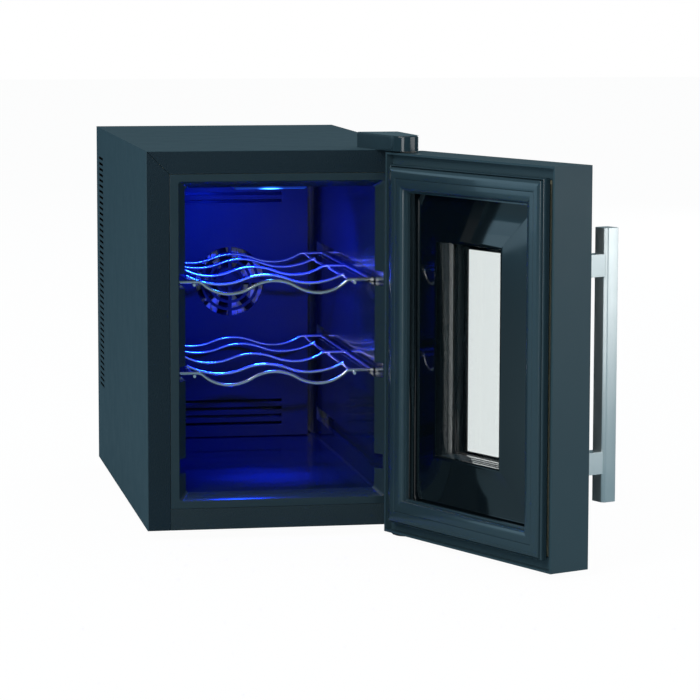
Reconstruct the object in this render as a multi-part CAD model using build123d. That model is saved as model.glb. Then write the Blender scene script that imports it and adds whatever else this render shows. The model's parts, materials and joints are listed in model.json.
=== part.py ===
from build123d import *
import math
import os

# Thermoelectric wine cooler for six bottles, in millimetres.
# Origin: on the floor, at the centre of the cabinet's footprint.
# +X is the cooler's right seen from the front, +Y its back, +Z up. The door hangs on the right.
# Depths are counted back from the cabinet's front plane, heights up from its underside.

# --- Cabinet ---------------------------------------------------------------
cabinet_w = 256.0
cabinet_h = 358.0
cabinet_d = 460.0
foot_h = 9.0
sheet = 0.8
base_sheet = 1.0
base_flange_h = 10.0

# --- Front face: trims, liner flange, bevel --------------------------------
trim_w = 21.8
rail_h = 20.4
trim_t = 2.0
trim_gap = 0.2
opening_side = 30.0
opening_w = cabinet_w - 2 * opening_side
opening_bottom = 27.6
opening_top = cabinet_h - 28.8
opening_r = 3.0

# --- Cold cavity -----------------------------------------------------------
wall_side = 37.5
wall_top = 35.1
wall_back = 22.0
machine_d = 66.0
machine_front = cabinet_d - machine_d
cavity_w = cabinet_w - 2 * wall_side
cavity_floor = 34.5
cavity_top = cabinet_h - wall_top
cavity_d = machine_front - wall_back
cavity_r = 3.0
bevel_d = 10.0
liner_t = 1.5

# --- Shelf grooves formed in the liner's sides -----------------------------
groove_levels = 3
groove_first_z = 53.6
groove_head_room = 26.2
groove_pitch = (cavity_top - cavity_floor - groove_head_room) / groove_levels
groove_h = 13.8
groove_x = opening_w / 2 - 0.8
groove_back = cavity_d - 36.0

# --- Wire shelves ----------------------------------------------------------
wire_r = 1.5
rail_wire_r = 1.75
shelf_fit = 0.3
shelf_side_fit = 1.0
shelf_front = 45.0
shelf_back = groove_back - 6.0
cross_shares = (0.0, 0.2, 0.5, 0.8, 1.0)
short_crosses = (1, 3)
cradle_x = 0.24 * cavity_w
cradle_end = 0.41 * cavity_w
cradle_bend = 0.16
cradle_drop_front = 12.0
cradle_drop_back = 8.5
under_wire_x = 0.428 * cavity_w
under_wire_out = 1.5
weld_depth = 0.4

# --- Machine space at the back ---------------------------------------------
bulkhead_t = 1.0
rear_cover_t = 1.2
rear_ledge_w = 13.0
rear_ledge_t = 8.0
grille_rings = 5
grille_ring_pitch = 8.5
grille_slot_w = 5.5
grille_rim = 2.0
grille_bar_w = 4.0
louvre_h = 3.0
low_louvre_rows = 9
low_louvre_pitch = 7.5
low_louvre_z = 90.0
low_louvre_x0 = -95.0
low_louvre_x1 = -25.0
high_louvre_rows = 5
high_louvre_pitch = 10.0
high_louvre_z = cabinet_h - 83.0
high_louvre_half = 70.0
vent_rows = 42
vent_bottom = 84.5
vent_top = cabinet_h - 32.0
vent_slot_h = 2.9
vent_len = 44.0
vent_from_back = 20.5

# --- Cooling unit ----------------------------------------------------------
unit_z = cabinet_h - 158.0
te_w = 40.0
te_t = 3.8
cold_fan_w = 80.0
cold_fan_d = 9.5
cold_plate_w = cold_fan_w + 10.0
cold_plate_t = 3.0
cold_fin_h = 7.0
cold_fin_count = 14
hot_fan_w = 92.0
hot_fan_d = 25.0
hot_plate_w = hot_fan_w + 8.0
hot_plate_t = 5.0
hot_fin_h = 25.0
hot_fin_count = 20
fin_t = 1.2
shaft_r = 1.5
shaft_fit = 0.05
fan_gap = 0.8
fan_wall = 2.5
fan_corner = 5.0
strut_t = 2.0
strut_w = 3.5
sleeve_wall = 2.0
rotor_gap = 0.5
rotor_roof = 1.5
blade_t = 1.2
blade_pitch_deg = 38.0
cold_hub_r = 15.0
hot_hub_r = 18.0
duct_w = cavity_w - 15.0
duct_front = cavity_d - 24.0
duct_wall = 2.0
duct_end_gap = 1.0
inlet_rings = 4
inlet_ring_pitch = 8.0
inlet_slot_w = 5.0
inlet_rim = 4.0
outlet_half = 55.0
outlet_rows = 4
outlet_pitch = 8.0
outlet_from_end = 12.0
outlet_h = 3.0
sensor_x = 62.0
sensor_drop = 30.0
sensor_r = 3.0
sensor_len = 24.0
sensor_seat = 5.0
sensor_clip = 10.0

# --- Cavity lamp -----------------------------------------------------------
lamp_w = 70.0
lamp_l = 28.0
lamp_h = 6.0
lamp_depth = 84.0
lamp_wall = 1.5
lens_t = 1.6
lens_out = 0.4
board_t = 1.6
board_inset = 5.0
diode_places = (-22.0, 0.0, 22.0)
diode_w = 5.0
diode_l = 6.0
diode_h = 1.0

# --- Power supply and cord outlet ------------------------------------------
tray_half = 70.0
tray_wall = 2.0
tray_margin = 6.0
supply_half = 64.0
supply_post_x = 58.0
supply_post_in = 6.0
supply_post_r = 3.5
supply_lift = 3.0
gland_in = 36.0
gland_up = 34.0
gland_r = 6.0
gland_lip = 2.5
gland_bore_r = 3.4
gland_inner = 3.0
gland_outer = 4.0

# --- Feet ------------------------------------------------------------------
foot_r = 12.0
foot_sole = 4.0
foot_inset_x = 28.0
foot_inset_front = 62.0
foot_inset_back = 40.0

# --- Door ------------------------------------------------------------------
door_w = cabinet_w
door_drop = 3.0
door_top_reveal = 1.6
door_h = cabinet_h + door_drop - door_top_reveal
door_t = 42.0
door_gap = 6.0
door_wall = 2.0
door_border = 24.0
door_open_deg = 114.0
pivot_in = 12.5
pivot_back = 17.0
channel_depth = 7.0
gasket_in = 10.5
gasket_w = 25.5
gasket_reach = 5.6
gasket_seat = 3.0
recess_in = 34.0
recess_low = 34.0
recess_depth = 9.4
panel_t = 2.0
window_side = 79.5
window_w = door_w - 2 * window_side
window_low = 83.0
window_top = 78.4
window_h = door_h - window_low - window_top
window_rim_depth = 1.9
window_land = 1.5
inner_glass_depth = 19.9
inner_glass_t = 3.0
glass_recess = 1.0
outer_glass_t = 4.0
mask_t = 2.0
spacer_end = door_t - glass_recess - outer_glass_t - mask_t
spacer_t = 6.0
bead_step = 5.0
clear_side = 5.0
clear_top = 8.0
clear_bottom = 2.0
glass_lap = 8.0
pane_gap = 0.2

# --- Handle ----------------------------------------------------------------
handle_low = 53.7
handle_len = door_h - 113.4
handle_w = 15.4
handle_t = 14.4
handle_off = 21.8
handle_in = 15.0
post_h = 20.0
post_low = handle_low + 36.1
post_pitch = handle_len - 69.3
bolt_in_bar = 7.0
bar_edge_r = 3.5

# --- Hinges ----------------------------------------------------------------
hinge_plate_t = 2.5
pin_r = 3.0
pin_fit = 0.05
bush_r = 5.0
bush_flange_r = 7.5
bush_flange_t = 0.8
bush_len = 14.0
boss_size = 20.0
boss_h = 18.0
boss_end = min(channel_depth + 2.0 + boss_size, spacer_end - 1.0)
cover_h = 14.5
cover_wall = 1.6
cover_nose_r = 14.0
cover_nose_x = cabinet_w / 2 - 17.5
cover_nose_y = -28.0
cover_back = 40.0
cover_back_left = cabinet_w / 2 - 50.0
cover_back_right = cabinet_w / 2 - 9.0
cover_edge_r = 1.6
bottom_hinge_t = 2.0
bottom_hinge_w = 24.0
bottom_hinge_back = 38.0
bottom_hinge_step = 0.6
hinge_clear = 0.3
nut_plate_t = 3.0
nut_plate_edge = 8.0

# --- Fasteners -------------------------------------------------------------
screw_r = 2.0
screw_head_r = 3.8
screw_head_h = 2.2

# --- Derived places --------------------------------------------------------
half_w = cabinet_w / 2
front = -cabinet_d / 2
back = cabinet_d / 2
base = foot_h
top = foot_h + cabinet_h
door_low = base - door_drop
door_top = door_low + door_h
pivot_x = half_w - pivot_in
pivot_y = front - door_gap - pivot_back
cavity_h = cavity_top - cavity_floor
cavity_mid = base + (cavity_floor + cavity_top) / 2
opening_h = opening_top - opening_bottom
opening_mid = base + (opening_bottom + opening_top) / 2
unit_mid = base + unit_z
rail_wire_up = shelf_fit + rail_wire_r
rail_wire_x = groove_x - shelf_side_fit - rail_wire_r
EPS = 0.01


def block(x0, x1, y0, y1, z0, z1):
    """Box between six planes of the cooler's frame."""
    centre = Pos((x0 + x1) / 2, (y0 + y1) / 2, (z0 + z1) / 2)
    return centre * Box(abs(x1 - x0), abs(y1 - y0), abs(z1 - z0))


def rod(x, y, z, radius, length, direction):
    """Cylinder that starts at a point and runs along a direction."""
    return Plane(origin=(x, y, z), z_dir=direction) * Cylinder(
        radius, length, align=(Align.CENTER, Align.CENTER, Align.MIN)
    )


def face_plane(depth, height):
    """Plane facing the front, at a depth behind the front plane."""
    return Plane(origin=(0, front + depth, height), x_dir=(1, 0, 0), z_dir=(0, 1, 0))


def rounded_block(width, height, radius, depth_0, depth_1, z_mid):
    """Rounded rectangle in the XZ plane, carried between two depths."""
    outline = face_plane(depth_0, z_mid) * RectangleRounded(width, height, radius)
    return extrude(outline, amount=depth_1 - depth_0)


def bevelled_mouth(grow):
    """Funnel from the door opening to the cavity, grown outwards by a wall."""
    outer = RectangleRounded(opening_w + 2 * grow, opening_h + 2 * grow, opening_r + grow)
    inner = RectangleRounded(cavity_w + 2 * grow, cavity_h + 2 * grow, cavity_r + grow)
    return loft([face_plane(0, opening_mid) * outer, face_plane(bevel_d, cavity_mid) * inner])


def screw(x, y, z, length, direction):
    """Pan-head screw; the point given is the underside of its head."""
    along = Vector(*direction)
    head_at = Vector(x, y, z) - along * screw_head_h
    head = rod(head_at.X, head_at.Y, head_at.Z, screw_head_r, screw_head_h, direction)
    shank = rod(x, y, z, screw_r, length, direction)
    return head + shank


def group(solids):
    """Several separate solids kept in one node."""
    return Compound(children=list(solids))


# --- Cabinet shell ---------------------------------------------------------
def vent_slots(side):
    """Louvre slots near the back edge of one side wall."""
    pitch = (vent_top - vent_bottom) / (vent_rows - 1)
    slot_back = back - vent_from_back
    slots = []
    for row in range(vent_rows):
        low = base + vent_bottom + row * pitch - vent_slot_h / 2
        x = side * half_w
        slots.append(block(x - 2, x + 2, slot_back - vent_len, slot_back, low, low + vent_slot_h))
    return slots


def outer_casing():
    """Painted sheet wrapped over the left side, the top and the right side."""
    outside = block(-half_w, half_w, front, back, base, top)
    inside = block(-half_w + sheet, half_w - sheet, front - 1, back + 1, base - 1, top - sheet)
    shell = outside - inside
    shell -= vent_slots(-1) + vent_slots(1)
    screw_holes = [rod(x, y, top + 1, screw_r, 4, (0, 0, -1)) for x, y in top_hinge_screw_places()]
    return shell - screw_holes


def base_plate():
    """Sheet floor of the cabinet, flanged up along all four sides."""
    side = half_w - sheet
    y0 = front + trim_t
    y1 = back - rear_cover_t
    outside = block(-side, side, y0, y1, base, base + base_flange_h)
    t = base_sheet
    plate = outside - block(-side + t, side - t, y0 + t, y1 - t, base + t, base + base_flange_h + 1)
    places = foot_places() + bottom_hinge_screw_places()
    return plate - [rod(x, y, base - 1, screw_r, 4, (0, 0, 1)) for x, y in places]


def trim_outline(points):
    """Flat trim moulding cut from an outline given as x, height pairs."""
    path = Polyline(*[(x, z) for x, z in points], close=True)
    return extrude(face_plane(0, 0) * make_face(flip_z(path)), amount=trim_t)


def flip_z(path):
    """The front-facing plane's own y axis points down, so outlines are turned over."""
    return path.mirror(Plane.XZ)


def trim_side(side):
    """Vertical front trim, mitred where it meets the top one."""
    outer = half_w - sheet
    inner = half_w - trim_w
    points = [(outer, base), (outer, top - sheet), (inner, top - trim_w), (inner, base)]
    return trim_outline([(side * x, z) for x, z in points])


def trim_top():
    """Top front trim, mitred at both ends."""
    outer = half_w - sheet - trim_gap
    inner = half_w - trim_w - trim_gap
    z_out = top - sheet
    z_in = top - trim_w
    return trim_outline([(-outer, z_out), (outer, z_out), (inner, z_in), (-inner, z_in)])


def trim_bottom():
    """Bottom front rail, butted between the side trims."""
    inner = half_w - trim_w
    return block(-inner, inner, front, front + trim_t, base, base + rail_h)


def bulkhead():
    """Thin sheet that closes the insulation in front of the machine space."""
    side = half_w - sheet
    y0 = front + machine_front
    plate = block(-side, side, y0, y0 + bulkhead_t, base + base_sheet, top - sheet)
    plate -= base_plate()
    return plate - te_passage()


def rear_cover():
    """Pressed back cover with a round fan grille, louvres and a cord outlet."""
    side = half_w - sheet
    y0 = back - rear_cover_t
    plate = block(-side, side, y0, back, base, top - sheet)
    rim_r = hot_fan_w / 2 - grille_rim
    plate -= ring_slots(y0, rim_r, grille_rings, grille_ring_pitch, grille_slot_w)
    for row in range(low_louvre_rows):
        z = base + low_louvre_z - row * low_louvre_pitch
        plate -= block(low_louvre_x0, low_louvre_x1, y0 - 1, back + 1, z, z + louvre_h)
    for row in range(high_louvre_rows):
        z = base + high_louvre_z + row * high_louvre_pitch
        plate -= block(-high_louvre_half, high_louvre_half, y0 - 1, back + 1, z, z + louvre_h)
    holes = [rod(x, back + 1, z, screw_r, 6, (0, -1, 0)) for x, z in rear_screw_places()]
    return plate - holes - rod(gland_x, y0 - 1, gland_z, gland_r, 4, (0, 1, 0))


def ring_slots(y0, rim_r, count, pitch, slot_w):
    """Ring-shaped slots of a round grille, bridged by a cross of two bars."""
    slots = []
    for ring in range(count):
        r_out = rim_r - ring * pitch
        disc = rod(0, y0 - 1, unit_mid, r_out, 4, (0, 1, 0))
        band = disc - rod(0, y0 - 1, unit_mid, r_out - slot_w, 4, (0, 1, 0))
        slots.append(band - spokes(y0 - 1, 4, grille_bar_w))
    return slots


def spokes(y, depth, width):
    """Cross of two bars that bridges the fan grille's rings."""
    reach = hot_fan_w / 2 + 2
    upright = block(-width / 2, width / 2, y, y + depth, unit_mid - reach, unit_mid + reach)
    level = block(-reach, reach, y, y + depth, unit_mid - width / 2, unit_mid + width / 2)
    return upright + level


def rear_screw_places():
    """Screws around the rear cover's edge."""
    x = half_w - 8
    low, high = 18, cabinet_h - 13
    heights = [low + share * (high - low) for share in (0, 1 / 3, 2 / 3, 1)]
    return [(s * x, base + z) for s in (-1, 1) for z in heights]


def screw_ledges():
    """Upright channels just inside the rear cover that take its screws."""
    side = half_w - sheet
    y1 = back - rear_cover_t
    ledges = []
    for s in (-1, 1):
        inner = s * (side - rear_ledge_w)
        strip = block(s * side, inner, y1 - rear_ledge_t, y1, base + base_flange_h, top - sheet)
        strip -= [rod(x, back, z, screw_r, 12, (0, -1, 0)) for x, z in rear_screw_places()]
        ledges.append(strip)
    return group(ledges)


# --- Liner and insulation --------------------------------------------------
def groove(side, level, grow):
    """Shelf groove sunk in one side of the cavity, grown outwards by a wall."""
    low = base + groove_first_z + level * groove_pitch
    y0 = front + (trim_t if grow else -1)
    x0 = side * (cavity_w / 2 - 1)
    x1 = side * (groove_x + grow)
    return block(x0, x1, y0, front + groove_back + grow, low - grow, low + groove_h + grow)


def grooves(grow):
    """All the shelf grooves."""
    return [groove(side, level, grow) for side in (-1, 1) for level in range(groove_levels)]


def inner_liner():
    """One-piece black liner: front flange, bevel, cavity and three pairs of shelf grooves."""
    side = half_w - trim_w - trim_gap
    y0 = front
    flange = block(-side, side, y0, y0 + trim_t, base + rail_h + trim_gap, top - trim_w - trim_gap)
    skin = liner_hull() + flange
    cavity = rounded_block(cavity_w, cavity_h, cavity_r, bevel_d - EPS, cavity_d, cavity_mid)
    hollow = bevelled_mouth(0) + cavity
    return skin - hollow - grooves(0) - te_passage()


def liner_hull():
    """Outside of the liner, which the insulation is foamed against."""
    grow = 2 * liner_t
    deep = rounded_block(
        cavity_w + grow, cavity_h + grow, cavity_r + liner_t, bevel_d - EPS, cavity_d + liner_t, cavity_mid
    )
    return bevelled_mouth(liner_t) + deep + grooves(liner_t)


def te_passage():
    """Square way through liner, insulation and bulkhead for the cold block."""
    half = te_w / 2
    y0 = front + cavity_d - 5
    y1 = front + machine_front + 5
    return block(-half, half, y0, y1, unit_mid - half, unit_mid + half)


def insulation():
    """Foam between the casing and the liner."""
    side = half_w - sheet
    foam = block(-side, side, front + trim_t, front + machine_front, base + base_sheet, top - sheet)
    foam -= liner_hull()
    foam -= base_plate()
    foam -= te_passage()
    foam -= hinge_nut_plates()
    drilled = [rod(x, y, top, screw_r, 12, (0, 0, -1)) for x, y in top_hinge_screw_places()]
    drilled += [rod(x, y, base, screw_r, 12, (0, 0, 1)) for x, y in bottom_hinge_screw_places()]
    drilled += [rod(x, y, base, screw_r, 9, (0, 0, 1)) for x, y in foot_places()]
    return foam - drilled


# --- Shelves ---------------------------------------------------------------
def cradle_path(drop, y, z, short):
    """Cross wire with two bottle cradles, drawn as tangent arcs; a short one stops over the under wires."""
    end_x = under_wire_x if short else cradle_end
    bend_x = end_x - cradle_bend * (end_x - cradle_x)
    right = [(0, 0), (cradle_x / 2, -drop / 2), (cradle_x, -drop)]
    right += [(end_x, 0)] if short else [(bend_x, -drop * cradle_bend), (end_x, 0)]
    left = [(-x, h) for x, h in reversed(right)]
    points = [Vector(x, y, z + h) for x, h in left + right[1:]]
    middle = len(right) - 1
    halves = []
    for side in (-1, 1):
        way = points[middle:] if side > 0 else list(reversed(points[: middle + 1]))
        arcs = [TangentArc(way[0], way[1], tangent=(side, 0, 0))]
        for start, stop in zip(way[1:], way[2:]):
            arcs.append(TangentArc(start, stop, tangent=arcs[-1] % 1))
        if not short:
            arcs.append(Line(way[-1], Vector(side * rail_wire_x, y, z)))
        halves.append([edge for arc in arcs for edge in arc.edges()])
    return [Wire(edges) for edges in halves]


def wire_along(path, radius):
    """Round wire swept along a path."""
    start = Plane(origin=path @ 0, z_dir=path % 0)
    return sweep(start * Circle(radius), path=path)


def cross_wires(level_z):
    """Scalloped cross wires of a shelf, deepest at the front."""
    run = shelf_back - shelf_front - 2 * rail_wire_r
    wires = []
    for row, share in enumerate(cross_shares):
        drop = cradle_drop_front if row == 0 else cradle_drop_back
        radius = rail_wire_r if row == 0 else wire_r
        y = front + shelf_front + rail_wire_r + share * run
        wires += [wire_along(path, radius) for path in cradle_path(drop, y, level_z, row in short_crosses)]
    return wires


def shelf(level):
    """Chrome wire shelf: cross wires, two wires under them and the side wires in the grooves."""
    z = base + groove_first_z + level * groove_pitch + rail_wire_up
    y0 = front + shelf_front
    length = shelf_back - shelf_front
    under_y = y0 - under_wire_out
    under_z = z - 2 * wire_r + weld_depth
    pieces = cross_wires(z)
    for s in (-1, 1):
        pieces.append(rod(s * rail_wire_x, y0, z, rail_wire_r, length, (0, 1, 0)))
        pieces.append(rod(s * under_wire_x, under_y, under_z, wire_r, length + under_wire_out, (0, 1, 0)))
    frame = pieces[0]
    return frame.fuse(*pieces[1:])


# --- Fans ------------------------------------------------------------------
def fan_frame(width, depth, y0, hub_r, strut_front):
    """Square fan housing with a round duct, struts and a bearing sleeve."""
    half = width / 2
    bore_r = half - fan_wall
    housing = block(-half, half, y0, y0 + depth, unit_mid - half, unit_mid + half)
    housing -= rod(0, y0 - 1, unit_mid, bore_r, depth + 2, (0, 1, 0))
    strut_y = y0 if strut_front else y0 + depth - strut_t
    housing += rod(0, strut_y, unit_mid, hub_r, strut_t, (0, 1, 0))
    for turn in (45, 135):
        bar = Box(2 * bore_r + 2, strut_t, strut_w)
        housing += Pos(0, strut_y + strut_t / 2, unit_mid) * Rot(0, turn, 0) * bar
    sleeve_len = depth - strut_t - rotor_roof - 3 * rotor_gap + strut_t
    sleeve_y = y0 if strut_front else y0 + depth - sleeve_len
    housing += rod(0, sleeve_y, unit_mid, shaft_r + sleeve_wall, sleeve_len, (0, 1, 0))
    housing -= rod(0, y0 - 1, unit_mid, shaft_r + shaft_fit, depth + 2, (0, 1, 0))
    holes = [rod(x, y0 - 1, z, screw_r, depth + 2, (0, 1, 0)) for x, z in corner_places(half - fan_corner)]
    return housing - holes


def corner_places(offset):
    """Four places around the cooling unit's centre."""
    return [(sx * offset, unit_mid + sz * offset) for sx in (-1, 1) for sz in (-1, 1)]


def fan_rotor(width, depth, y0, hub_r, strut_front, blades):
    """Cup-shaped hub with swept blades on a shaft that runs in the sleeve."""
    hub_depth = depth - strut_t - 2 * rotor_gap
    hub_y = y0 + strut_t + rotor_gap if strut_front else y0 + rotor_gap
    tip_r = width / 2 - fan_wall - fan_gap
    well_y = hub_y - 1 if strut_front else hub_y + rotor_roof
    well_r = shaft_r + sleeve_wall + rotor_gap
    rotor = rod(0, hub_y, unit_mid, hub_r, hub_depth, (0, 1, 0))
    rotor -= rod(0, well_y, unit_mid, well_r, hub_depth - rotor_roof + 1, (0, 1, 0))
    shaft_len = hub_depth + rotor_gap + strut_t
    shaft_y = y0 if strut_front else hub_y
    rotor += rod(0, shaft_y, unit_mid, shaft_r, shaft_len, (0, 1, 0))
    annulus = rod(0, hub_y, unit_mid, tip_r, hub_depth, (0, 1, 0))
    annulus -= rod(0, hub_y, unit_mid, hub_r - 0.4, hub_depth, (0, 1, 0))
    centre = Pos(0, hub_y + hub_depth / 2, unit_mid)
    blade_box = Box(tip_r - hub_r + 2, blade_t, hub_depth * 1.7)
    blade = Pos((hub_r + tip_r) / 2, 0, 0) * Rot(blade_pitch_deg, 0, 0) * blade_box
    for index in range(blades):
        rotor += (centre * Rot(0, index * 360 / blades, 0) * blade) & annulus
    return rotor


# --- Cooling unit ----------------------------------------------------------
cold_plate_y = front + cavity_d - cold_plate_t
cold_fin_y = cold_plate_y - cold_fin_h
cold_fan_y = cold_fin_y - cold_fan_d
te_y = front + machine_front + bulkhead_t - te_t
hot_plate_y = front + machine_front + bulkhead_t
hot_fin_y = hot_plate_y + hot_plate_t
hot_fan_y = hot_fin_y + hot_fin_h
cold_corner = cold_fan_w / 2 - fan_corner
hot_corner = hot_fan_w / 2 - fan_corner


def finned_sink(plate_w, plate_y, plate_t, fin_y, fin_h, count, corner):
    """Flat plate with upright fins, drilled for the fan's screws."""
    half = plate_w / 2
    sink = block(-half, half, plate_y, plate_y + plate_t, unit_mid - half, unit_mid + half)
    pitch = (plate_w - fin_t) / (count - 1)
    for index in range(count):
        x = -half + index * pitch
        sink += block(x, x + fin_t, fin_y, fin_y + fin_h, unit_mid - half, unit_mid + half)
    y0 = min(plate_y, fin_y) - 1
    length = plate_t + fin_h + 2
    for x, z in corner_places(corner):
        sink += rod(x, y0 + 1, z, screw_r + 2, length - 2, (0, 1, 0))
    return sink - [rod(x, y0, z, screw_r, length, (0, 1, 0)) for x, z in corner_places(corner)]


def cold_sink():
    """Aluminium sink against the liner's back wall, fins towards the cavity."""
    return finned_sink(
        cold_plate_w, cold_plate_y, cold_plate_t, cold_fin_y, cold_fin_h, cold_fin_count, cold_corner
    )


def hot_sink():
    """Aluminium sink behind the bulkhead, fins towards the rear cover."""
    return finned_sink(hot_plate_w, hot_plate_y, hot_plate_t, hot_fin_y, hot_fin_h, hot_fin_count, hot_corner)


def cold_block():
    """Aluminium bridge from the cold sink to the module."""
    half = te_w / 2
    return block(-half, half, front + cavity_d, te_y, unit_mid - half, unit_mid + half)


def te_module():
    """Thermoelectric tile pressed between the block and the hot sink."""
    half = te_w / 2
    return block(-half, half, te_y, te_y + te_t, unit_mid - half, unit_mid + half)


def air_duct():
    """Cover in front of the cold sink: round inlet grille, outlets at top and bottom."""
    half = duct_w / 2
    z0 = base + cavity_floor + duct_end_gap
    z1 = base + cavity_top - duct_end_gap
    y0 = front + duct_front
    y1 = front + cavity_d
    shell = block(-half, half, y0, y1, z0, z1)
    t = duct_wall
    shell -= block(-half + t, half - t, y0 + t, y1 + 1, z0 + t, z1 - t)
    shell -= ring_slots(y0, cold_fan_w / 2 - inlet_rim, inlet_rings, inlet_ring_pitch, inlet_slot_w)
    for row in range(outlet_rows):
        rise = outlet_from_end + row * outlet_pitch
        for low in (z0 + rise, z1 - rise - outlet_h):
            shell -= block(-outlet_half, outlet_half, y0 - 1, y0 + t + 1, low, low + outlet_h)
    return shell


def temperature_sensor():
    """Sensor capsule held on the liner's back wall, beside the cold sink."""
    y1 = front + cavity_d
    low = unit_mid - sensor_drop
    middle = low + sensor_len / 2
    bead = rod(sensor_x, y1 - sensor_seat, low, sensor_r, sensor_len, (0, 0, 1))
    half = sensor_clip / 2
    clip = block(sensor_x - half, sensor_x + half, y1 - sensor_seat, y1, middle - half, middle + half)
    return bead + clip


# --- Lamp ------------------------------------------------------------------
lamp_z = base + cavity_top - lamp_h
lamp_y0 = front + lamp_depth - lamp_l / 2
lamp_y1 = front + lamp_depth + lamp_l / 2


def lamp_housing():
    """Shallow tray under the cavity's ceiling, open downwards."""
    half = lamp_w / 2
    t = lamp_wall
    tray = block(-half, half, lamp_y0, lamp_y1, lamp_z, lamp_z + lamp_h)
    return tray - block(-half + t, half - t, lamp_y0 + t, lamp_y1 - t, lamp_z - 1, lamp_z + lamp_h - t)


def lamp_board():
    """Circuit board with its lamps, on the tray's roof."""
    half = lamp_w / 2 - lamp_wall
    z1 = lamp_z + lamp_h - lamp_wall
    z0 = z1 - board_t
    board = block(-half, half, lamp_y0 + board_inset, lamp_y1 - board_inset, z0, z1)
    y = (lamp_y0 + lamp_y1) / 2
    for x in diode_places:
        board += block(x - diode_w / 2, x + diode_w / 2, y - diode_l / 2, y + diode_l / 2, z0 - diode_h, z0)
    return board


def lamp_lens():
    """Clear cover snapped into the tray's mouth."""
    half = lamp_w / 2 - lamp_wall
    z0 = lamp_z - lens_out
    return block(-half, half, lamp_y0 + lamp_wall, lamp_y1 - lamp_wall, z0, z0 + lens_t)


# --- Power supply ----------------------------------------------------------
supply_y0 = hot_plate_y + 8.0
supply_y1 = back - rear_cover_t - 3.0
supply_z0 = base + base_flange_h + supply_lift
gland_x = half_w - gland_in
gland_z = base + gland_up


def supply_tray():
    """Plastic tray on the cabinet floor that carries the power board."""
    y0 = front + machine_front + bulkhead_t
    y1 = back - rear_cover_t - base_sheet
    t = tray_wall
    z0 = base + base_sheet
    tray = block(-tray_half, tray_half, y0, y1, z0, supply_z0 + tray_margin)
    tray -= block(-tray_half + t, tray_half - t, y0 + t, y1 - t, z0 + t, supply_z0 + tray_margin + 1)
    for x in (-supply_post_x, supply_post_x):
        for y in (supply_y0 + supply_post_in, supply_y1 - supply_post_in):
            tray += rod(x, y, z0 + t, supply_post_r, supply_z0 - z0 - t, (0, 0, 1))
    return tray


def power_board():
    """Circuit board that turns mains into low voltage."""
    return block(-supply_half, supply_half, supply_y0, supply_y1, supply_z0, supply_z0 + board_t)


def power_parts():
    """Transformer, capacitors, coil and heat sink on the power board."""
    z = supply_z0 + board_t
    y = (supply_y0 + supply_y1) / 2
    return group([
        block(-18, 14, y - 14, y + 14, z, z + 26),
        rod(-42, y, z, 9.0, 30, (0, 0, 1)),
        rod(28, y - 12, z, 5.0, 20, (0, 0, 1)),
        rod(28, y + 10, z, 5.0, 20, (0, 0, 1)),
        block(42, 45, y - 15, y + 15, z, z + 30),
    ])


def cord_gland():
    """Rubber grommet in the rear cover where the mains cord enters."""
    y0 = back - rear_cover_t
    lip_r = gland_r + gland_lip
    gland = rod(gland_x, y0 - gland_inner, gland_z, lip_r, gland_inner, (0, 1, 0))
    gland += rod(gland_x, y0, gland_z, gland_r, rear_cover_t, (0, 1, 0))
    gland += rod(gland_x, back, gland_z, lip_r, gland_outer, (0, 1, 0))
    return gland - rod(gland_x, y0 - gland_inner - 1, gland_z, gland_bore_r, 12, (0, 1, 0))


# --- Feet ------------------------------------------------------------------
def foot_places():
    """Centres of the four feet."""
    x = half_w - foot_inset_x
    return [(sx * x, y) for sx in (-1, 1) for y in (front + foot_inset_front, back - foot_inset_back)]


def feet():
    """Four rubber feet, each with a well for its screw's head."""
    made = []
    for x, y in foot_places():
        foot = rod(x, y, 0, foot_r, foot_h, (0, 0, 1))
        foot -= rod(x, y, -1, screw_head_r + 0.5, 1 + foot_h - foot_sole, (0, 0, 1))
        foot -= rod(x, y, 0, screw_r, foot_h, (0, 0, 1))
        made.append(foot)
    return group(made)


def foot_screws():
    """Screws that hold the feet to the floor sheet."""
    return group([screw(x, y, foot_h - foot_sole, 9, (0, 0, 1)) for x, y in foot_places()])


# --- Hinges on the cabinet -------------------------------------------------
def top_hinge_screw_places():
    """Two screws of the top hinge plate, into the cabinet's roof."""
    return [(cover_back_left + 16, front + 22), (cover_back_right - 8, front + 22)]


def bottom_hinge_screw_places():
    """Two screws of the bottom hinge plate, into the cabinet's floor."""
    x = half_w - bottom_hinge_w / 2 - 1
    return [(x, front + 12), (x, front + 28)]


def cover_outline(shrink):
    """Plan of the hinge cover: straight back, rounded nose over the pivot."""
    nose = Pos(cover_nose_x, front + cover_nose_y) * Circle(cover_nose_r - shrink)
    x0 = cover_back_left + shrink
    x1 = cover_back_right - shrink
    y1 = front + cover_back - shrink
    heel = Pos((x0 + x1) / 2, y1 - 4) * RectangleRounded(x1 - x0, 8, 3)
    return make_hull(nose.edges() + heel.edges())


def top_hinge_cover():
    """Moulded cover over the top hinge."""
    shell = extrude(Pos(0, 0, top) * cover_outline(0), amount=cover_h)
    rim = shell.edges().filter_by_position(Axis.Z, top + cover_h, top + cover_h)
    shell = fillet(rim, cover_edge_r)
    return shell - extrude(Pos(0, 0, top - 1) * cover_outline(cover_wall), amount=cover_h - cover_wall + 1)


def top_hinge_plate():
    """Steel plate on the cabinet's roof that reaches over the door."""
    t = hinge_plate_t
    plan = extrude(Pos(0, 0, top) * cover_outline(cover_wall + 1.0), amount=t)
    plan -= [rod(x, y, top - 1, screw_r, 6, (0, 0, 1)) for x, y in top_hinge_screw_places()]
    return plan - rod(pivot_x, pivot_y, top - 1, pin_r, 6, (0, 0, 1))


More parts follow.
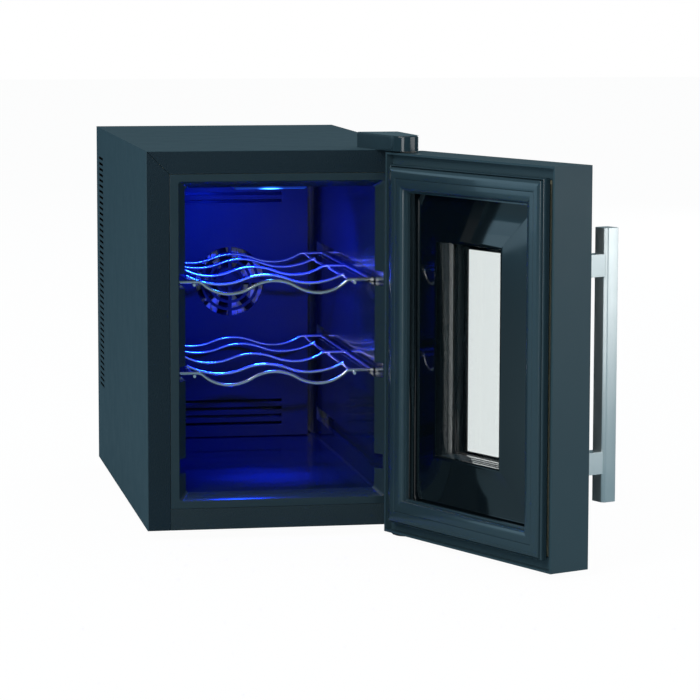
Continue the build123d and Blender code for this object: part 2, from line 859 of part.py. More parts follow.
def top_hinge_pin():
    """Headed pin through the plate, down into the door's top bush."""
    head = rod(pivot_x, pivot_y, top + hinge_plate_t, pin_r + 2, 2.0, (0, 0, 1))
    return head + rod(pivot_x, pivot_y, top + hinge_plate_t, pin_r, top_pin_len(), (0, 0, -1))


def top_pin_len():
    """The pin stops 2 mm above the blind end of the bush."""
    return top + hinge_plate_t - (door_top - bush_len) - 2.0


def top_hinge_screws():
    """Screws of the top hinge plate."""
    z = top + hinge_plate_t
    return group([screw(x, y, z, 9, (0, 0, -1)) for x, y in top_hinge_screw_places()])


def bottom_tongue_low():
    """Underside of the plate's tongue, which clears the door's bottom bush."""
    return door_low - bush_flange_t - hinge_clear - bottom_hinge_t


def bottom_hinge_plate():
    """Joggled steel plate: under the cabinet's floor at the back, under the door at the front."""
    t = bottom_hinge_t
    x1 = half_w - 1
    x0 = x1 - bottom_hinge_w
    step_y = front + bottom_hinge_step
    low = bottom_tongue_low()
    plate = block(x0, x1, step_y, front + bottom_hinge_back, base - t, base)
    plate += block(x0, x1, step_y, step_y + t, low, base)
    tongue = block(x0, x1, pivot_y, step_y, low, low + t)
    tongue += rod(pivot_x, pivot_y, low, x1 - pivot_x, t, (0, 0, 1))
    plate += tongue
    plate -= [rod(x, y, base - t - 1, screw_r, 6, (0, 0, 1)) for x, y in bottom_hinge_screw_places()]
    return plate - rod(pivot_x, pivot_y, low - 1, pin_r, t + 2, (0, 0, 1))


def bottom_hinge_pin():
    """Pin that carries the door at its lower corner."""
    low = bottom_tongue_low()
    return rod(pivot_x, pivot_y, low, pin_r, door_low + bush_len - 2.0 - low, (0, 0, 1))


def bottom_hinge_screws():
    """Screws of the bottom hinge plate."""
    z = base - bottom_hinge_t
    return group([screw(x, y, z, 10, (0, 0, 1)) for x, y in bottom_hinge_screw_places()])


def hinge_nut_plates():
    """Threaded steel plates buried in the insulation behind both hinges."""
    t = nut_plate_t
    plates = []
    for places, z0 in (
        (top_hinge_screw_places(), top - sheet - t),
        (bottom_hinge_screw_places(), base + base_sheet),
    ):
        edge = nut_plate_edge
        xs = [x for x, _ in places]
        ys = [y for _, y in places]
        plate = block(min(xs) - edge, max(xs) + edge, min(ys) - edge, max(ys) + edge, z0, z0 + t)
        plates.append(plate - [rod(x, y, z0 - 1, screw_r, t + 2, (0, 0, 1)) for x, y in places])
    return group(plates)


def rear_cover_screws():
    """Screws around the rear cover."""
    return group([screw(x, back, z, 8, (0, -1, 0)) for x, z in rear_screw_places()])


def cold_fan_screws():
    """Four screws from the cold fan into its sink."""
    length = cold_fan_d + cold_fin_h + cold_plate_t - 1.0
    return group([screw(x, cold_fan_y, z, length, (0, 1, 0)) for x, z in corner_places(cold_corner)])


def hot_fan_screws():
    """Four screws from the hot fan into its sink."""
    length = hot_fan_d + hot_fin_h + hot_plate_t - 1.0
    y = hot_fan_y + hot_fan_d
    return group([screw(x, y, z, length, (0, -1, 0)) for x, z in corner_places(hot_corner)])


# --- Door, modelled closed -------------------------------------------------
# u runs from the hinge edge, v outwards from the door's inner face, z as in the cooler's frame.
def door_block(u0, u1, v0, v1, z0, z1):
    """Box in the door's own directions."""
    y = front - door_gap
    return block(half_w - u0, half_w - u1, y - v0, y - v1, z0, z1)


def door_inset(inset, v0, v1):
    """Plate as large as the door less an inset all round."""
    return door_block(inset, door_w - inset, v0, v1, door_low + inset, door_top - inset)


def door_ring(inset_0, inset_1, v0, v1):
    """Rectangular ring between two insets from the door's edge."""
    return door_inset(inset_0, v0, v1) - door_inset(inset_1, v0 - 1, v1 + 1)


def window_block(grow, v0, v1):
    """Prism over the window opening, grown outwards."""
    u0 = (door_w - window_w) / 2 - grow
    z0 = door_low + window_low - grow
    return door_block(u0, door_w - u0, v0, v1, z0, z0 + window_h + 2 * grow)


def clear_block(v0, v1):
    """Prism over the clear part of the glass."""
    u0 = (door_w - window_w) / 2 + clear_side
    z0 = door_low + window_low + clear_bottom
    z1 = door_low + window_low + window_h - clear_top
    return door_block(u0, door_w - u0, v0, v1, z0, z1)


def door_frame():
    """Moulded frame: thin outer wall, front border, channel behind the rim and hinge bosses."""
    wall = door_ring(0, door_wall, 0, door_t)
    border = door_ring(door_wall, door_border, door_t - door_wall, door_t)
    shelf_ring = door_ring(door_wall, gasket_in + 2, channel_depth, channel_depth + 2)
    frame = wall + border + shelf_ring
    u0 = door_wall
    u1 = u0 + boss_size
    v0 = channel_depth + 2
    v1 = boss_end
    bosses = door_block(u0, u1, v0, v1, door_top - boss_h, door_top - door_wall)
    bosses += door_block(u0, u1, v0, v1, door_low + door_wall, door_low + boss_h)
    frame += bosses
    frame -= rod(pivot_x, pivot_y, door_top + 1, bush_r, bush_len + 1, (0, 0, -1))
    frame -= rod(pivot_x, pivot_y, door_low - 1, bush_r, bush_len + 1, (0, 0, 1))
    return frame - handle_bolt_holes(screw_r)


def recess_frustum(shift):
    """Shallow pyramid that rises from the recess floor to the window's rim."""
    y = front - door_gap
    foot_w = door_w - 2 * recess_in
    foot_z0 = door_low + recess_low
    foot_z1 = door_top - recess_in
    foot_plane = Plane(
        origin=(0, y - recess_depth - shift, (foot_z0 + foot_z1) / 2), x_dir=(1, 0, 0), z_dir=(0, 1, 0)
    )
    land = window_land + panel_t
    rim_mid = door_low + window_low + window_h / 2
    rim_plane = Plane(origin=(0, y - window_rim_depth - shift, rim_mid), x_dir=(1, 0, 0), z_dir=(0, 1, 0))
    foot_face = foot_plane * Rectangle(foot_w, foot_z1 - foot_z0)
    rim_face = rim_plane * Rectangle(window_w + 2 * land, window_h + 2 * land)
    return loft([foot_face, rim_face])


def recess_block(grow, v0, v1):
    """Prism over the door's inner recess, grown outwards."""
    u0 = recess_in - grow
    return door_block(u0, door_w - u0, v0, v1, door_low + recess_low - grow, door_top - recess_in + grow)


def door_inner_panel():
    """Glossy inner panel: flange under the gasket, recess wall, pyramid and window reveal."""
    t = panel_t
    flange_v = gasket_seat
    flange = door_inset(gasket_in + 2, flange_v, flange_v + t)
    flange -= recess_block(0, flange_v - 1, flange_v + t + 1)
    skirt = door_ring(gasket_in + 2, gasket_in + 2 + t, flange_v + t, channel_depth + 2)
    wall = recess_block(t, flange_v + t, recess_depth + t) - recess_block(0, flange_v, recess_depth + t + 1)
    slope = recess_frustum(0) - recess_frustum(t)
    edge = recess_block(0, recess_depth, recess_depth + t) - recess_frustum(t)
    edge -= recess_block(-t, recess_depth - 1, recess_depth + t + 1)
    reveal = window_block(t, window_rim_depth + t - 0.5, inner_glass_depth)
    panel = flange + skirt + wall + slope + edge + reveal
    return panel - window_block(0, window_rim_depth - 1, inner_glass_depth + 1)


def door_insulation():
    """Foam that fills the door around the window."""
    v1 = spacer_end
    foam = door_inset(door_wall, channel_depth + 2, v1)
    foam -= recess_block(panel_t, channel_depth, recess_depth + panel_t)
    foam += recess_frustum(panel_t) & door_inset(door_wall, 0, recess_depth + panel_t)
    foam -= window_block(glass_lap, inner_glass_depth, v1 + 1)
    foam -= window_block(panel_t, 0, v1 + 1)
    u1 = door_wall + boss_size
    for z0, z1 in ((door_top - boss_h, door_top), (door_low, door_low + boss_h)):
        foam -= door_block(0, u1, 0, boss_end, z0, z1)
    return foam


def door_inner_glass():
    """Inner pane, seated against the end of the reveal."""
    return window_block(glass_lap, inner_glass_depth, inner_glass_depth + inner_glass_t)


def glazing_spacer():
    """Spacer frame that holds the two panes apart."""
    v0 = inner_glass_depth + inner_glass_t
    v1 = spacer_end
    inner = glass_lap - spacer_t
    ring = window_block(glass_lap, v0, v1) - window_block(inner, v0 - 1, v1 + 1)
    bead_v = v0 + bead_step
    return ring + window_block(inner, bead_v, v1) - window_block(0, bead_v - 1, v1 + 1)


def door_mask():
    """Black mask behind the outer glass, cut out at the window."""
    return door_inset(door_wall, spacer_end, spacer_end + mask_t) - clear_block(spacer_end - 1, door_t)


def door_outer_glass():
    """Outer pane set into the frame's border."""
    v0 = spacer_end + mask_t
    return door_inset(door_border + pane_gap, v0, v0 + outer_glass_t)


def glass_retainer():
    """Foam strip between the mask and the frame's border, around the outer pane."""
    v0 = spacer_end + mask_t
    strip = door_ring(door_wall, door_border + pane_gap, v0, door_t - door_wall)
    return strip - handle_bolt_holes(screw_head_r + pane_gap)


def door_gasket():
    """Magnetic seal: a base strip with an outer bulge, a groove and an inner bulge."""
    g0 = gasket_in
    g1 = gasket_in + gasket_w
    seal = door_ring(g0, g1, 0, gasket_seat)
    seal += door_ring(g0 + 0.5, g0 + 13.0, -gasket_reach, 0)
    seal += door_ring(g0 + 14.5, g1 - 0.5, -gasket_reach + 0.8, 0)
    return seal - magnet_ring()


def magnet_ring():
    """Channel of the magnets inside the gasket's outer bulge."""
    return door_ring(gasket_in + 3.0, gasket_in + 10.5, -gasket_reach + 1.2, -gasket_reach + 4.2)


def gasket_magnets():
    """Four magnet strips, mitred where they meet."""
    return magnet_ring()


# --- Handle ----------------------------------------------------------------
handle_u = door_w - handle_in


def post_places():
    """Heights of the two handle posts' centres."""
    low = base + post_low
    return [low, low + post_pitch]


def handle_bolt_holes(radius):
    """Ways for the handle's bolts through what lies outside the mask."""
    x = half_w - handle_u
    y = front - door_gap - spacer_end - mask_t
    return [rod(x, y, z, radius, door_t, (0, -1, 0)) for z in post_places()]


def handle_bar():
    """Brushed bar with chamfered outer edges."""
    v0 = door_t + handle_off
    z0 = base + handle_low
    bar = door_block(handle_u - handle_w / 2, handle_u + handle_w / 2, v0, v0 + handle_t, z0, z0 + handle_len)
    outer_y = front - door_gap - v0 - handle_t
    long_edges = bar.edges().filter_by(Axis.Z).filter_by_position(Axis.Y, outer_y - 0.1, outer_y + 0.1)
    bar = fillet(long_edges, bar_edge_r)
    y = front - door_gap - v0 + 1
    return bar - [rod(half_w - handle_u, y, z, screw_r, bolt_in_bar + 2, (0, -1, 0)) for z in post_places()]


def handle_posts():
    """Two posts that hold the bar off the door."""
    half = handle_w / 2 - 0.5
    v1 = door_t + handle_off
    y = front - door_gap - door_t + 1
    posts = []
    for z in post_places():
        post = door_block(handle_u - half, handle_u + half, door_t, v1, z - post_h / 2, z + post_h / 2)
        posts.append(post - rod(half_w - handle_u, y, z, screw_r, 40, (0, -1, 0)))
    return group(posts)


def handle_bolts():
    """Bolts from inside the door, through the posts into the bar."""
    y = front - door_gap - door_t + door_wall
    length = door_wall + handle_off + bolt_in_bar
    return group([screw(half_w - handle_u, y, z, length, (0, -1, 0)) for z in post_places()])


def bush(z, direction):
    """Flanged bush pressed into a hinge boss, blind at its far end."""
    made = rod(pivot_x, pivot_y, z, bush_flange_r, bush_flange_t, (0, 0, -direction))
    made += rod(pivot_x, pivot_y, z, bush_r, bush_len, (0, 0, direction))
    start = z - direction * (bush_flange_t + 1)
    return made - rod(pivot_x, pivot_y, start, pin_r + pin_fit, bush_len + bush_flange_t, (0, 0, direction))


def door_top_bush():
    """Bush for the top pin."""
    return bush(door_top, -1)


def door_bottom_bush():
    """Bush for the bottom pin."""
    return bush(door_low, 1)


# --- Assembly --------------------------------------------------------------
def opened(shape):
    """Turn a door piece from closed to its open rest pose."""
    return shape.rotate(Axis((pivot_x, pivot_y, 0), (0, 0, 1)), door_open_deg)


CABINET = {
    "outer_casing": outer_casing,
    "base_plate": base_plate,
    "left_front_trim": lambda: trim_side(-1),
    "right_front_trim": lambda: trim_side(1),
    "top_front_trim": trim_top,
    "bottom_front_rail": trim_bottom,
    "inner_liner": inner_liner,
    "cabinet_insulation": insulation,
    "bulkhead": bulkhead,
    "rear_cover": rear_cover,
    "rear_cover_channels": screw_ledges,
    "rear_cover_screws": rear_cover_screws,
    "feet": feet,
    "foot_screws": foot_screws,
    "cold_sink": cold_sink,
    "cold_block": cold_block,
    "thermoelectric_module": te_module,
    "hot_sink": hot_sink,
    "cold_fan_frame": lambda: fan_frame(cold_fan_w, cold_fan_d, cold_fan_y, cold_hub_r, False),
    "cold_fan_screws": cold_fan_screws,
    "hot_fan_frame": lambda: fan_frame(hot_fan_w, hot_fan_d, hot_fan_y, hot_hub_r, True),
    "hot_fan_screws": hot_fan_screws,
    "air_duct_cover": air_duct,
    "temperature_sensor": temperature_sensor,
    "lamp_housing": lamp_housing,
    "lamp_board": lamp_board,
    "lamp_lens": lamp_lens,
    "supply_tray": supply_tray,
    "power_board": power_board,
    "power_components": power_parts,
    "cord_gland": cord_gland,
    "top_hinge_plate": top_hinge_plate,
    "top_hinge_pin": top_hinge_pin,
    "top_hinge_screws": top_hinge_screws,
    "top_hinge_cover": top_hinge_cover,
    "bottom_hinge_plate": bottom_hinge_plate,
    "bottom_hinge_pin": bottom_hinge_pin,
    "bottom_hinge_screws": bottom_hinge_screws,
    "hinge_nut_plates": hinge_nut_plates,
}
DOOR = {
    "door_frame": door_frame,
    "door_inner_panel": door_inner_panel,
    "door_insulation": door_insulation,
    "door_inner_glass": door_inner_glass,
    "glazing_spacer": glazing_spacer,
    "door_mask": door_mask,
    "door_outer_glass": door_outer_glass,
    "glass_retainer": glass_retainer,
    "door_gasket": door_gasket,
    "gasket_magnets": gasket_magnets,
    "handle_bar": handle_bar,
    "handle_posts": handle_posts,
    "handle_bolts": handle_bolts,
    "door_top_bush": door_top_bush,
    "door_bottom_bush": door_bottom_bush,
}
MOVING = {
    "lower_shelf": lambda: shelf(1),
    "upper_shelf": lambda: shelf(2),
    "cold_fan_rotor": lambda: fan_rotor(cold_fan_w, cold_fan_d, cold_fan_y, cold_hub_r, False, 7),
    "hot_fan_rotor": lambda: fan_rotor(hot_fan_w, hot_fan_d, hot_fan_y, hot_hub_r, True, 9),
}

os.makedirs("parts", exist_ok=True)
for name, make in {**CABINET, **MOVING}.items():
    export_step(make(), f"parts/{name}.step")
for name, make in DOOR.items():
    export_step(opened(make()), f"parts/{name}.step")
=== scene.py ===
"""Looks of a six-bottle wine cooler with its door open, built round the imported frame."""

from __future__ import annotations

import json
import logging
import math
from dataclasses import dataclass
from enum import Enum
from typing import Callable, Sequence

import bmesh
import bpy
from mathutils import Matrix, Vector

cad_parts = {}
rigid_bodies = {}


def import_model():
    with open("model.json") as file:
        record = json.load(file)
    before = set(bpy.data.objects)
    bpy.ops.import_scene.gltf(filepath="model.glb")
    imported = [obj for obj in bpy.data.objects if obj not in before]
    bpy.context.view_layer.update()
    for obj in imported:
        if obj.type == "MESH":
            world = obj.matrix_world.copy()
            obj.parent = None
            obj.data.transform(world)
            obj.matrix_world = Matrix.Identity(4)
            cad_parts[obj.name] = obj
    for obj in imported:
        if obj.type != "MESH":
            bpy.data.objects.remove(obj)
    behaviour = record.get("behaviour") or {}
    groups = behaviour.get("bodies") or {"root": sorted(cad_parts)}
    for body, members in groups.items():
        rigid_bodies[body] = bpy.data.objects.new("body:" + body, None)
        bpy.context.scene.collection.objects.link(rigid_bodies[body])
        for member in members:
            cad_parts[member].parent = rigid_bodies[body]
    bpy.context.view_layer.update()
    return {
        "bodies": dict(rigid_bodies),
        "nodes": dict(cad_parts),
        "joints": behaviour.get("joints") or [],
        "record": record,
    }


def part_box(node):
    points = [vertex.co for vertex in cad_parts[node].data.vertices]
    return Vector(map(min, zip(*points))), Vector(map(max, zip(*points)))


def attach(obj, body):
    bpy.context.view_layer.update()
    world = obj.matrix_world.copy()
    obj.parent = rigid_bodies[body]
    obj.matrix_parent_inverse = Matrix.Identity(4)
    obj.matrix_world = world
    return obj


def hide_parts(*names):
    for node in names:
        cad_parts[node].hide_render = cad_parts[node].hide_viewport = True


LOG = logging.getLogger("wine_cooler")
MM = 0.001

MERGE_GAP = 0.000002
FLAT_DEG = 0.5
SHARP_DEG = 40
SAME_PLACE = 0.00001
HAIR_EDGE = 0.0002
FINE_EDGE = 0.0003
CRISP_EDGE = 0.0004
SOFT_EDGE = 0.0006
UNBEVELLED = 0.0
LAMP_DROP = 0.002


class Body(Enum):
    """The rigid bodies that pieces ride on."""

    CABINET = "cabinet"
    DOOR = "door"
    UPPER_SHELF = "upper_shelf"
    LOWER_SHELF = "lower_shelf"
    COLD_FAN = "cold_fan_rotor"
    HOT_FAN = "hot_fan_rotor"


class Grain(Enum):
    """How a finish's fine relief is laid."""

    PEEL = "peel"
    LEATHER = "leather"
    SMOOTH = "smooth"
    BRUSHED_UP = "brushed_up"
    BRUSHED_ACROSS = "brushed_across"


# --------------------------------------------------------------------------
# Finishes
# --------------------------------------------------------------------------
class Pad:
    """A material's node tree with short ways to add and join nodes."""

    noise_low: float = 0.3
    noise_high: float = 0.7

    def __init__(self, name: str) -> None:
        """Start a material with an empty tree, a surface shader and an output."""
        self.material = bpy.data.materials.new(name)
        self.material.use_nodes = True
        self.tree = self.material.node_tree
        self.tree.nodes.clear()
        self.shader = self.add("ShaderNodeBsdfPrincipled")
        self.output = self.add("ShaderNodeOutputMaterial")
        self.join(self.shader, "BSDF", self.output, "Surface")
        self.place = self.add("ShaderNodeTexCoord")

    def add(self, kind: str, **values: object) -> bpy.types.Node:
        """Add a node.

        Args:
            kind: the node's type name.
            values: attributes of the node, or names of its inputs with spaces as underscores.

        Returns:
            The new node.
        """
        node = self.tree.nodes.new(kind)
        for key, value in values.items():
            if hasattr(node, key):
                setattr(node, key, value)
            else:
                node.inputs[key.replace("_", " ")].default_value = value
        return node

    def join(self, source: bpy.types.Node, out: str, target: bpy.types.Node, into: str | int) -> None:
        """Link one node's output to another's input."""
        self.tree.links.new(source.outputs[out], target.inputs[into])

    def stretched(self, scale: Sequence[float]) -> bpy.types.Node:
        """Object coordinates scaled along each axis."""
        mapping = self.add("ShaderNodeMapping")
        mapping.inputs["Scale"].default_value = scale
        self.join(self.place, "Object", mapping, "Vector")
        return mapping

    def noise(
        self, per_metre: float, detail: float, stretch: Sequence[float] = (1, 1, 1),
    ) -> bpy.types.Node:
        """Noise with a given number of features per metre."""
        mapping = self.stretched(stretch)
        noise = self.add("ShaderNodeTexNoise", Scale=per_metre, Detail=detail)
        self.join(mapping, "Vector", noise, "Vector")
        return noise

    def between(self, source: bpy.types.Node, out: str, low: float, high: float) -> bpy.types.Node:
        """Spread the middle of a noise pattern between two values."""
        spread = self.ramp(self.noise_low, self.noise_high, low, high)
        self.join(source, out, spread, "Value")
        return spread

    def ramp(
        self, from_min: float, from_max: float, to_min: float, to_max: float, **values: object,
    ) -> bpy.types.Node:
        """Add a node that maps one range of values to another."""
        node = self.add("ShaderNodeMapRange", **values)
        for name, value in (
            ("From Min", from_min), ("From Max", from_max), ("To Min", to_min), ("To Max", to_max),
        ):
            node.inputs[name].default_value = value
        return node

    def blend(
        self, factor: bpy.types.Node, out: str, first: Sequence[float], second: Sequence[float],
    ) -> bpy.types.Node:
        """Mix two colours by a pattern."""
        mix = self.add("ShaderNodeMix", data_type="RGBA")
        colours = {"A": (*first, 1), "B": (*second, 1)}
        for socket in mix.inputs:
            if socket.type == "RGBA" and socket.name in colours:
                socket.default_value = colours[socket.name]
        self.join(factor, out, mix, "Factor")
        return mix

    def colour(self, mix: bpy.types.Node, into: str = "Base Color") -> None:
        """Send a colour mix to one of the shader's colour inputs."""
        source = next(socket for socket in mix.outputs if socket.type == "RGBA")
        self.tree.links.new(source, self.shader.inputs[into])

    def relief(self, height: bpy.types.Node, out: str, depth: float, strength: float) -> None:
        """Send a height pattern to the shader as bump.

        Args:
            height: node that gives the height.
            out: name of its output.
            depth: height of the relief in metres.
            strength: share of the relief that shows.
        """
        bump = self.add("ShaderNodeBump", Strength=strength, Distance=depth)
        self.join(height, out, bump, "Height")
        self.join(bump, "Normal", self.shader, "Normal")


@dataclass(frozen=True)
class Finish:
    """An opaque surface: colour, gloss and a fine relief."""

    name: str
    colour: tuple[float, float, float]
    rough: float
    metal: float = 0.0
    specular: float = 0.5
    coat: float = 0.0
    coat_rough: float = 0.04
    mottle: float = 0.12
    rough_swing: float = 0.05
    grain: Grain = Grain.SMOOTH
    grain_per_metre: float = 900.0
    grain_depth: float = 0.00004
    grain_strength: float = 0.3
    drift_per_metre: float = 14.0
    wear_per_metre: float = 45.0
    least_rough: float = 0.02
    streak_ratio: float = 0.01

    def material(self) -> bpy.types.Material:
        """Build the material, with its colour drift, gloss drift and relief."""
        pad = Pad(self.name)
        shader = pad.shader
        shader.inputs["Metallic"].default_value = self.metal
        shader.inputs["Specular IOR Level"].default_value = self.specular
        shader.inputs["Coat Weight"].default_value = self.coat
        shader.inputs["Coat Roughness"].default_value = self.coat_rough
        drift = pad.noise(self.drift_per_metre, 3)
        darker = tuple(c * (1 - self.mottle) for c in self.colour)
        lighter = tuple(min(1.0, c * (1 + self.mottle)) for c in self.colour)
        pad.colour(pad.blend(drift, "Fac", darker, lighter))
        wear = pad.noise(self.wear_per_metre, 6)
        smoothest = max(self.least_rough, self.rough - self.rough_swing)
        gloss = pad.between(wear, "Fac", smoothest, self.rough + self.rough_swing)
        pad.join(gloss, "Result", shader, "Roughness")
        self.add_relief(pad)
        return pad.material

    def add_relief(self, pad: Pad) -> None:
        """Lay the fine relief that the finish has."""
        if self.grain is Grain.LEATHER:
            cells = pad.add("ShaderNodeTexVoronoi", Scale=self.grain_per_metre, feature="SMOOTH_F1")
            pad.join(pad.place, "Object", cells, "Vector")
            pad.relief(cells, "Distance", self.grain_depth, self.grain_strength)
            return
        thin = self.streak_ratio
        detail, stretch = {
            Grain.BRUSHED_UP: (4, (1, 1, thin)),
            Grain.BRUSHED_ACROSS: (4, (thin, thin, 1)),
            Grain.PEEL: (2, (1, 1, 1)),
            Grain.SMOOTH: (5, (1, 1, 1)),
        }[self.grain]
        pattern = pad.noise(self.grain_per_metre, detail, stretch)
        pad.relief(pattern, "Fac", self.grain_depth, self.grain_strength)


@dataclass(frozen=True)
class Pane:
    """Clear or faintly tinted glass."""

    name: str
    tint: tuple[float, float, float]
    rough: float = 0.01
    film: float = 0.02
    refraction: float = 1.45

    def material(self) -> bpy.types.Material:
        """Build glass with a faint film of dust in its gloss."""
        pad = Pad(self.name)
        shader = pad.shader
        shader.inputs["Base Color"].default_value = (*self.tint, 1)
        shader.inputs["Transmission Weight"].default_value = 1.0
        shader.inputs["IOR"].default_value = self.refraction
        dust = pad.noise(30, 4)
        gloss = pad.between(dust, "Fac", self.rough, self.rough + self.film)
        pad.join(gloss, "Result", shader, "Roughness")
        return pad.material


@dataclass(frozen=True)
class Glow:
    """A moulding lit from behind by a lamp at its middle: true of the lamp's lens, while on the housing the
    glow is painted light.
    """

    name: str
    colour: tuple[float, float, float]
    strength: float
    core: tuple[float, float, float] = (0.05, 0.38, 1.0)
    reach: float = 0.014
    rough: float = 0.35
    edge_share: float = 0.025

    def material(self) -> bpy.types.Material:
        """Build the moulding, brightest and palest at its middle, fading sideways."""
        pad = Pad(self.name)
        shader = pad.shader
        shader.inputs["Base Color"].default_value = (*self.colour, 1)
        shader.inputs["Roughness"].default_value = self.rough
        parts = pad.add("ShaderNodeSeparateXYZ")
        pad.join(pad.place, "Object", parts, "Vector")
        away = pad.add("ShaderNodeMath", operation="ABSOLUTE")
        pad.join(parts, "X", away, 0)
        fade = pad.ramp(0.0, self.reach, 1.0, self.edge_share, interpolation_type="SMOOTHSTEP")
        pad.join(away, "Value", fade, "Value")
        pad.colour(pad.blend(fade, "Result", self.colour, self.core), "Emission Color")
        power = pad.add("ShaderNodeMath", operation="MULTIPLY")
        pad.join(fade, "Result", power, 0)
        power.inputs[1].default_value = self.strength
        pad.join(power, "Value", shader, "Emission Strength")
        return pad.material


SLATE_COAT = Finish(
    "slate_powder_coat", (0.066, 0.118, 0.145), 0.5, specular=0.25, mottle=0.04, rough_swing=0.04,
    grain=Grain.PEEL, grain_per_metre=1300,
)
# Lighter copy of the grained trim moulding for the bottom rail: painted light, standing in for the light
# the floor throws on it.
RAIL_GRAIN_PAINTED_LIGHT = Finish(
    "grained_slate_rail_painted_light", (0.030, 0.052, 0.062), 0.5, specular=0.25, mottle=0.1, grain=Grain.LEATHER,
    grain_per_metre=850, grain_depth=0.0005, grain_strength=0.9,
)
TRIM_GRAIN = Finish(
    "grained_slate_moulding", (0.014, 0.032, 0.045), 0.55, specular=0.22, mottle=0.1, grain=Grain.LEATHER,
    grain_per_metre=850, grain_depth=0.0005, grain_strength=0.9,
)
LINER_GLOSS = Finish(
    "gloss_slate_liner", (0.012, 0.026, 0.036), 0.2, specular=0.4, coat=0.25, mottle=0.06, rough_swing=0.03,
    grain_strength=0.12,
)
# Lighter copy of the liner gloss for the cavity's front lip: painted light, standing in for the light the
# front of the cavity catches.
LINER_LIP_PAINTED_LIGHT = Finish(
    "gloss_slate_lip_painted_light", (0.030, 0.055, 0.068), 0.24, specular=0.5, coat=0.25, mottle=0.05, rough_swing=0.03,
    grain_strength=0.1,
)
DUCT_TEXTURE = Finish(
    "textured_duct_moulding", (0.014, 0.022, 0.030), 0.45, specular=0.3, mottle=0.08, grain=Grain.LEATHER,
    grain_per_metre=900, grain_depth=0.0002, grain_strength=0.5,
)
PANEL_GLOSS = Finish(
    "high_gloss_black", (0.003, 0.006, 0.008), 0.05, specular=0.8, coat=1.0, mottle=0.02, rough_swing=0.015,
    grain_strength=0.03,
)
DOOR_COAT = Finish(
    "slate_door_coat", (0.052, 0.097, 0.118), 0.38, specular=0.35, mottle=0.04, rough_swing=0.04,
    grain=Grain.PEEL, grain_per_metre=1300,
)
COVER_GLOSS = Finish(
    "gloss_slate_moulding", (0.024, 0.050, 0.064), 0.16, specular=0.5, coat=0.5, mottle=0.04
)
SEAL_RUBBER = Finish(
    "slate_seal_rubber", (0.038, 0.072, 0.090), 0.2, specular=0.9, coat=0.5, mottle=0.05, rough_swing=0.05,
    grain_per_metre=2200, grain_strength=0.15,
)
BRUSHED = Finish(
    "brushed_steel", (0.86, 0.91, 0.905), 0.4, metal=0.9, mottle=0.02, rough_swing=0.03,
    grain=Grain.BRUSHED_UP, grain_per_metre=2600, grain_depth=0.00001, grain_strength=0.25,
)
POST_STEEL = Finish(
    "brushed_post_steel", (0.86, 0.91, 0.905), 0.34, metal=0.85, mottle=0.02, rough_swing=0.03,
    grain=Grain.BRUSHED_ACROSS, grain_per_metre=2600, grain_depth=0.00001, grain_strength=0.25,
)
CHROME = Finish("bright_chrome", (0.96, 0.97, 0.97), 0.12, metal=0.88, mottle=0.02, rough_swing=0.03)
ALUMINIUM = Finish(
    "drawn_aluminium", (0.58, 0.59, 0.60), 0.38, metal=1.0, mottle=0.06, grain=Grain.BRUSHED_UP,
    grain_per_metre=1800,
)
ZINC = Finish("zinc_plate", (0.55, 0.56, 0.55), 0.34, metal=1.0, mottle=0.14, rough_swing=0.1)
BLACK_SHEET = Finish(
    "black_coated_sheet", (0.010, 0.013, 0.016), 0.5, specular=0.3, grain=Grain.PEEL, grain_per_metre=1100
)
BLACK_MOULDING = Finish(
    "black_moulding", (0.012, 0.013, 0.015), 0.48, specular=0.3, grain=Grain.LEATHER, grain_per_metre=1400
)
RUBBER = Finish(
    "foot_rubber", (0.014, 0.014, 0.014), 0.75, specular=0.3, grain=Grain.PEEL, grain_per_metre=1600
)
MASK_INK = Finish(
    "black_glass_ink", (0.002, 0.004, 0.005), 0.16, specular=0.3, mottle=0.02, rough_swing=0.02,
    grain_strength=0.02,
)
SPACER = Finish("anodised_spacer", (0.008, 0.016, 0.020), 0.45, specular=0.2, grain=Grain.BRUSHED_UP)
BOARD = Finish("circuit_board", (0.01, 0.10, 0.045), 0.35, coat=0.3, mottle=0.25)
PARTS_BLACK = Finish("component_cases", (0.02, 0.02, 0.025), 0.4)
CERAMIC = Finish("module_ceramic", (0.78, 0.78, 0.74), 0.6)
ACETAL = Finish("acetal_bush", (0.72, 0.72, 0.68), 0.4)
FOAM = Finish("rigid_foam", (0.72, 0.66, 0.45), 0.9, mottle=0.2, grain=Grain.LEATHER, grain_per_metre=700)
MAGNET = Finish("bonded_magnet", (0.04, 0.035, 0.03), 0.7)
CLEAR_PANE = Pane("clear_pane", (0.96, 0.985, 0.98))
OUTER_PANE = Pane("outer_pane", (0.93, 0.97, 0.965))
LAMP_GLOW = Glow("blue_lamp_diffuser", (0.02, 0.16, 1.0), 22.0)
# The housing is no lamp: its glow is painted light, standing in for the lamp's light spilling onto it.
HOUSING_PAINTED_GLOW = Glow("lamp_housing_painted_glow", (0.02, 0.12, 1.0), 1.2, (0.03, 0.2, 1.0))
Look = Finish | Pane | Glow


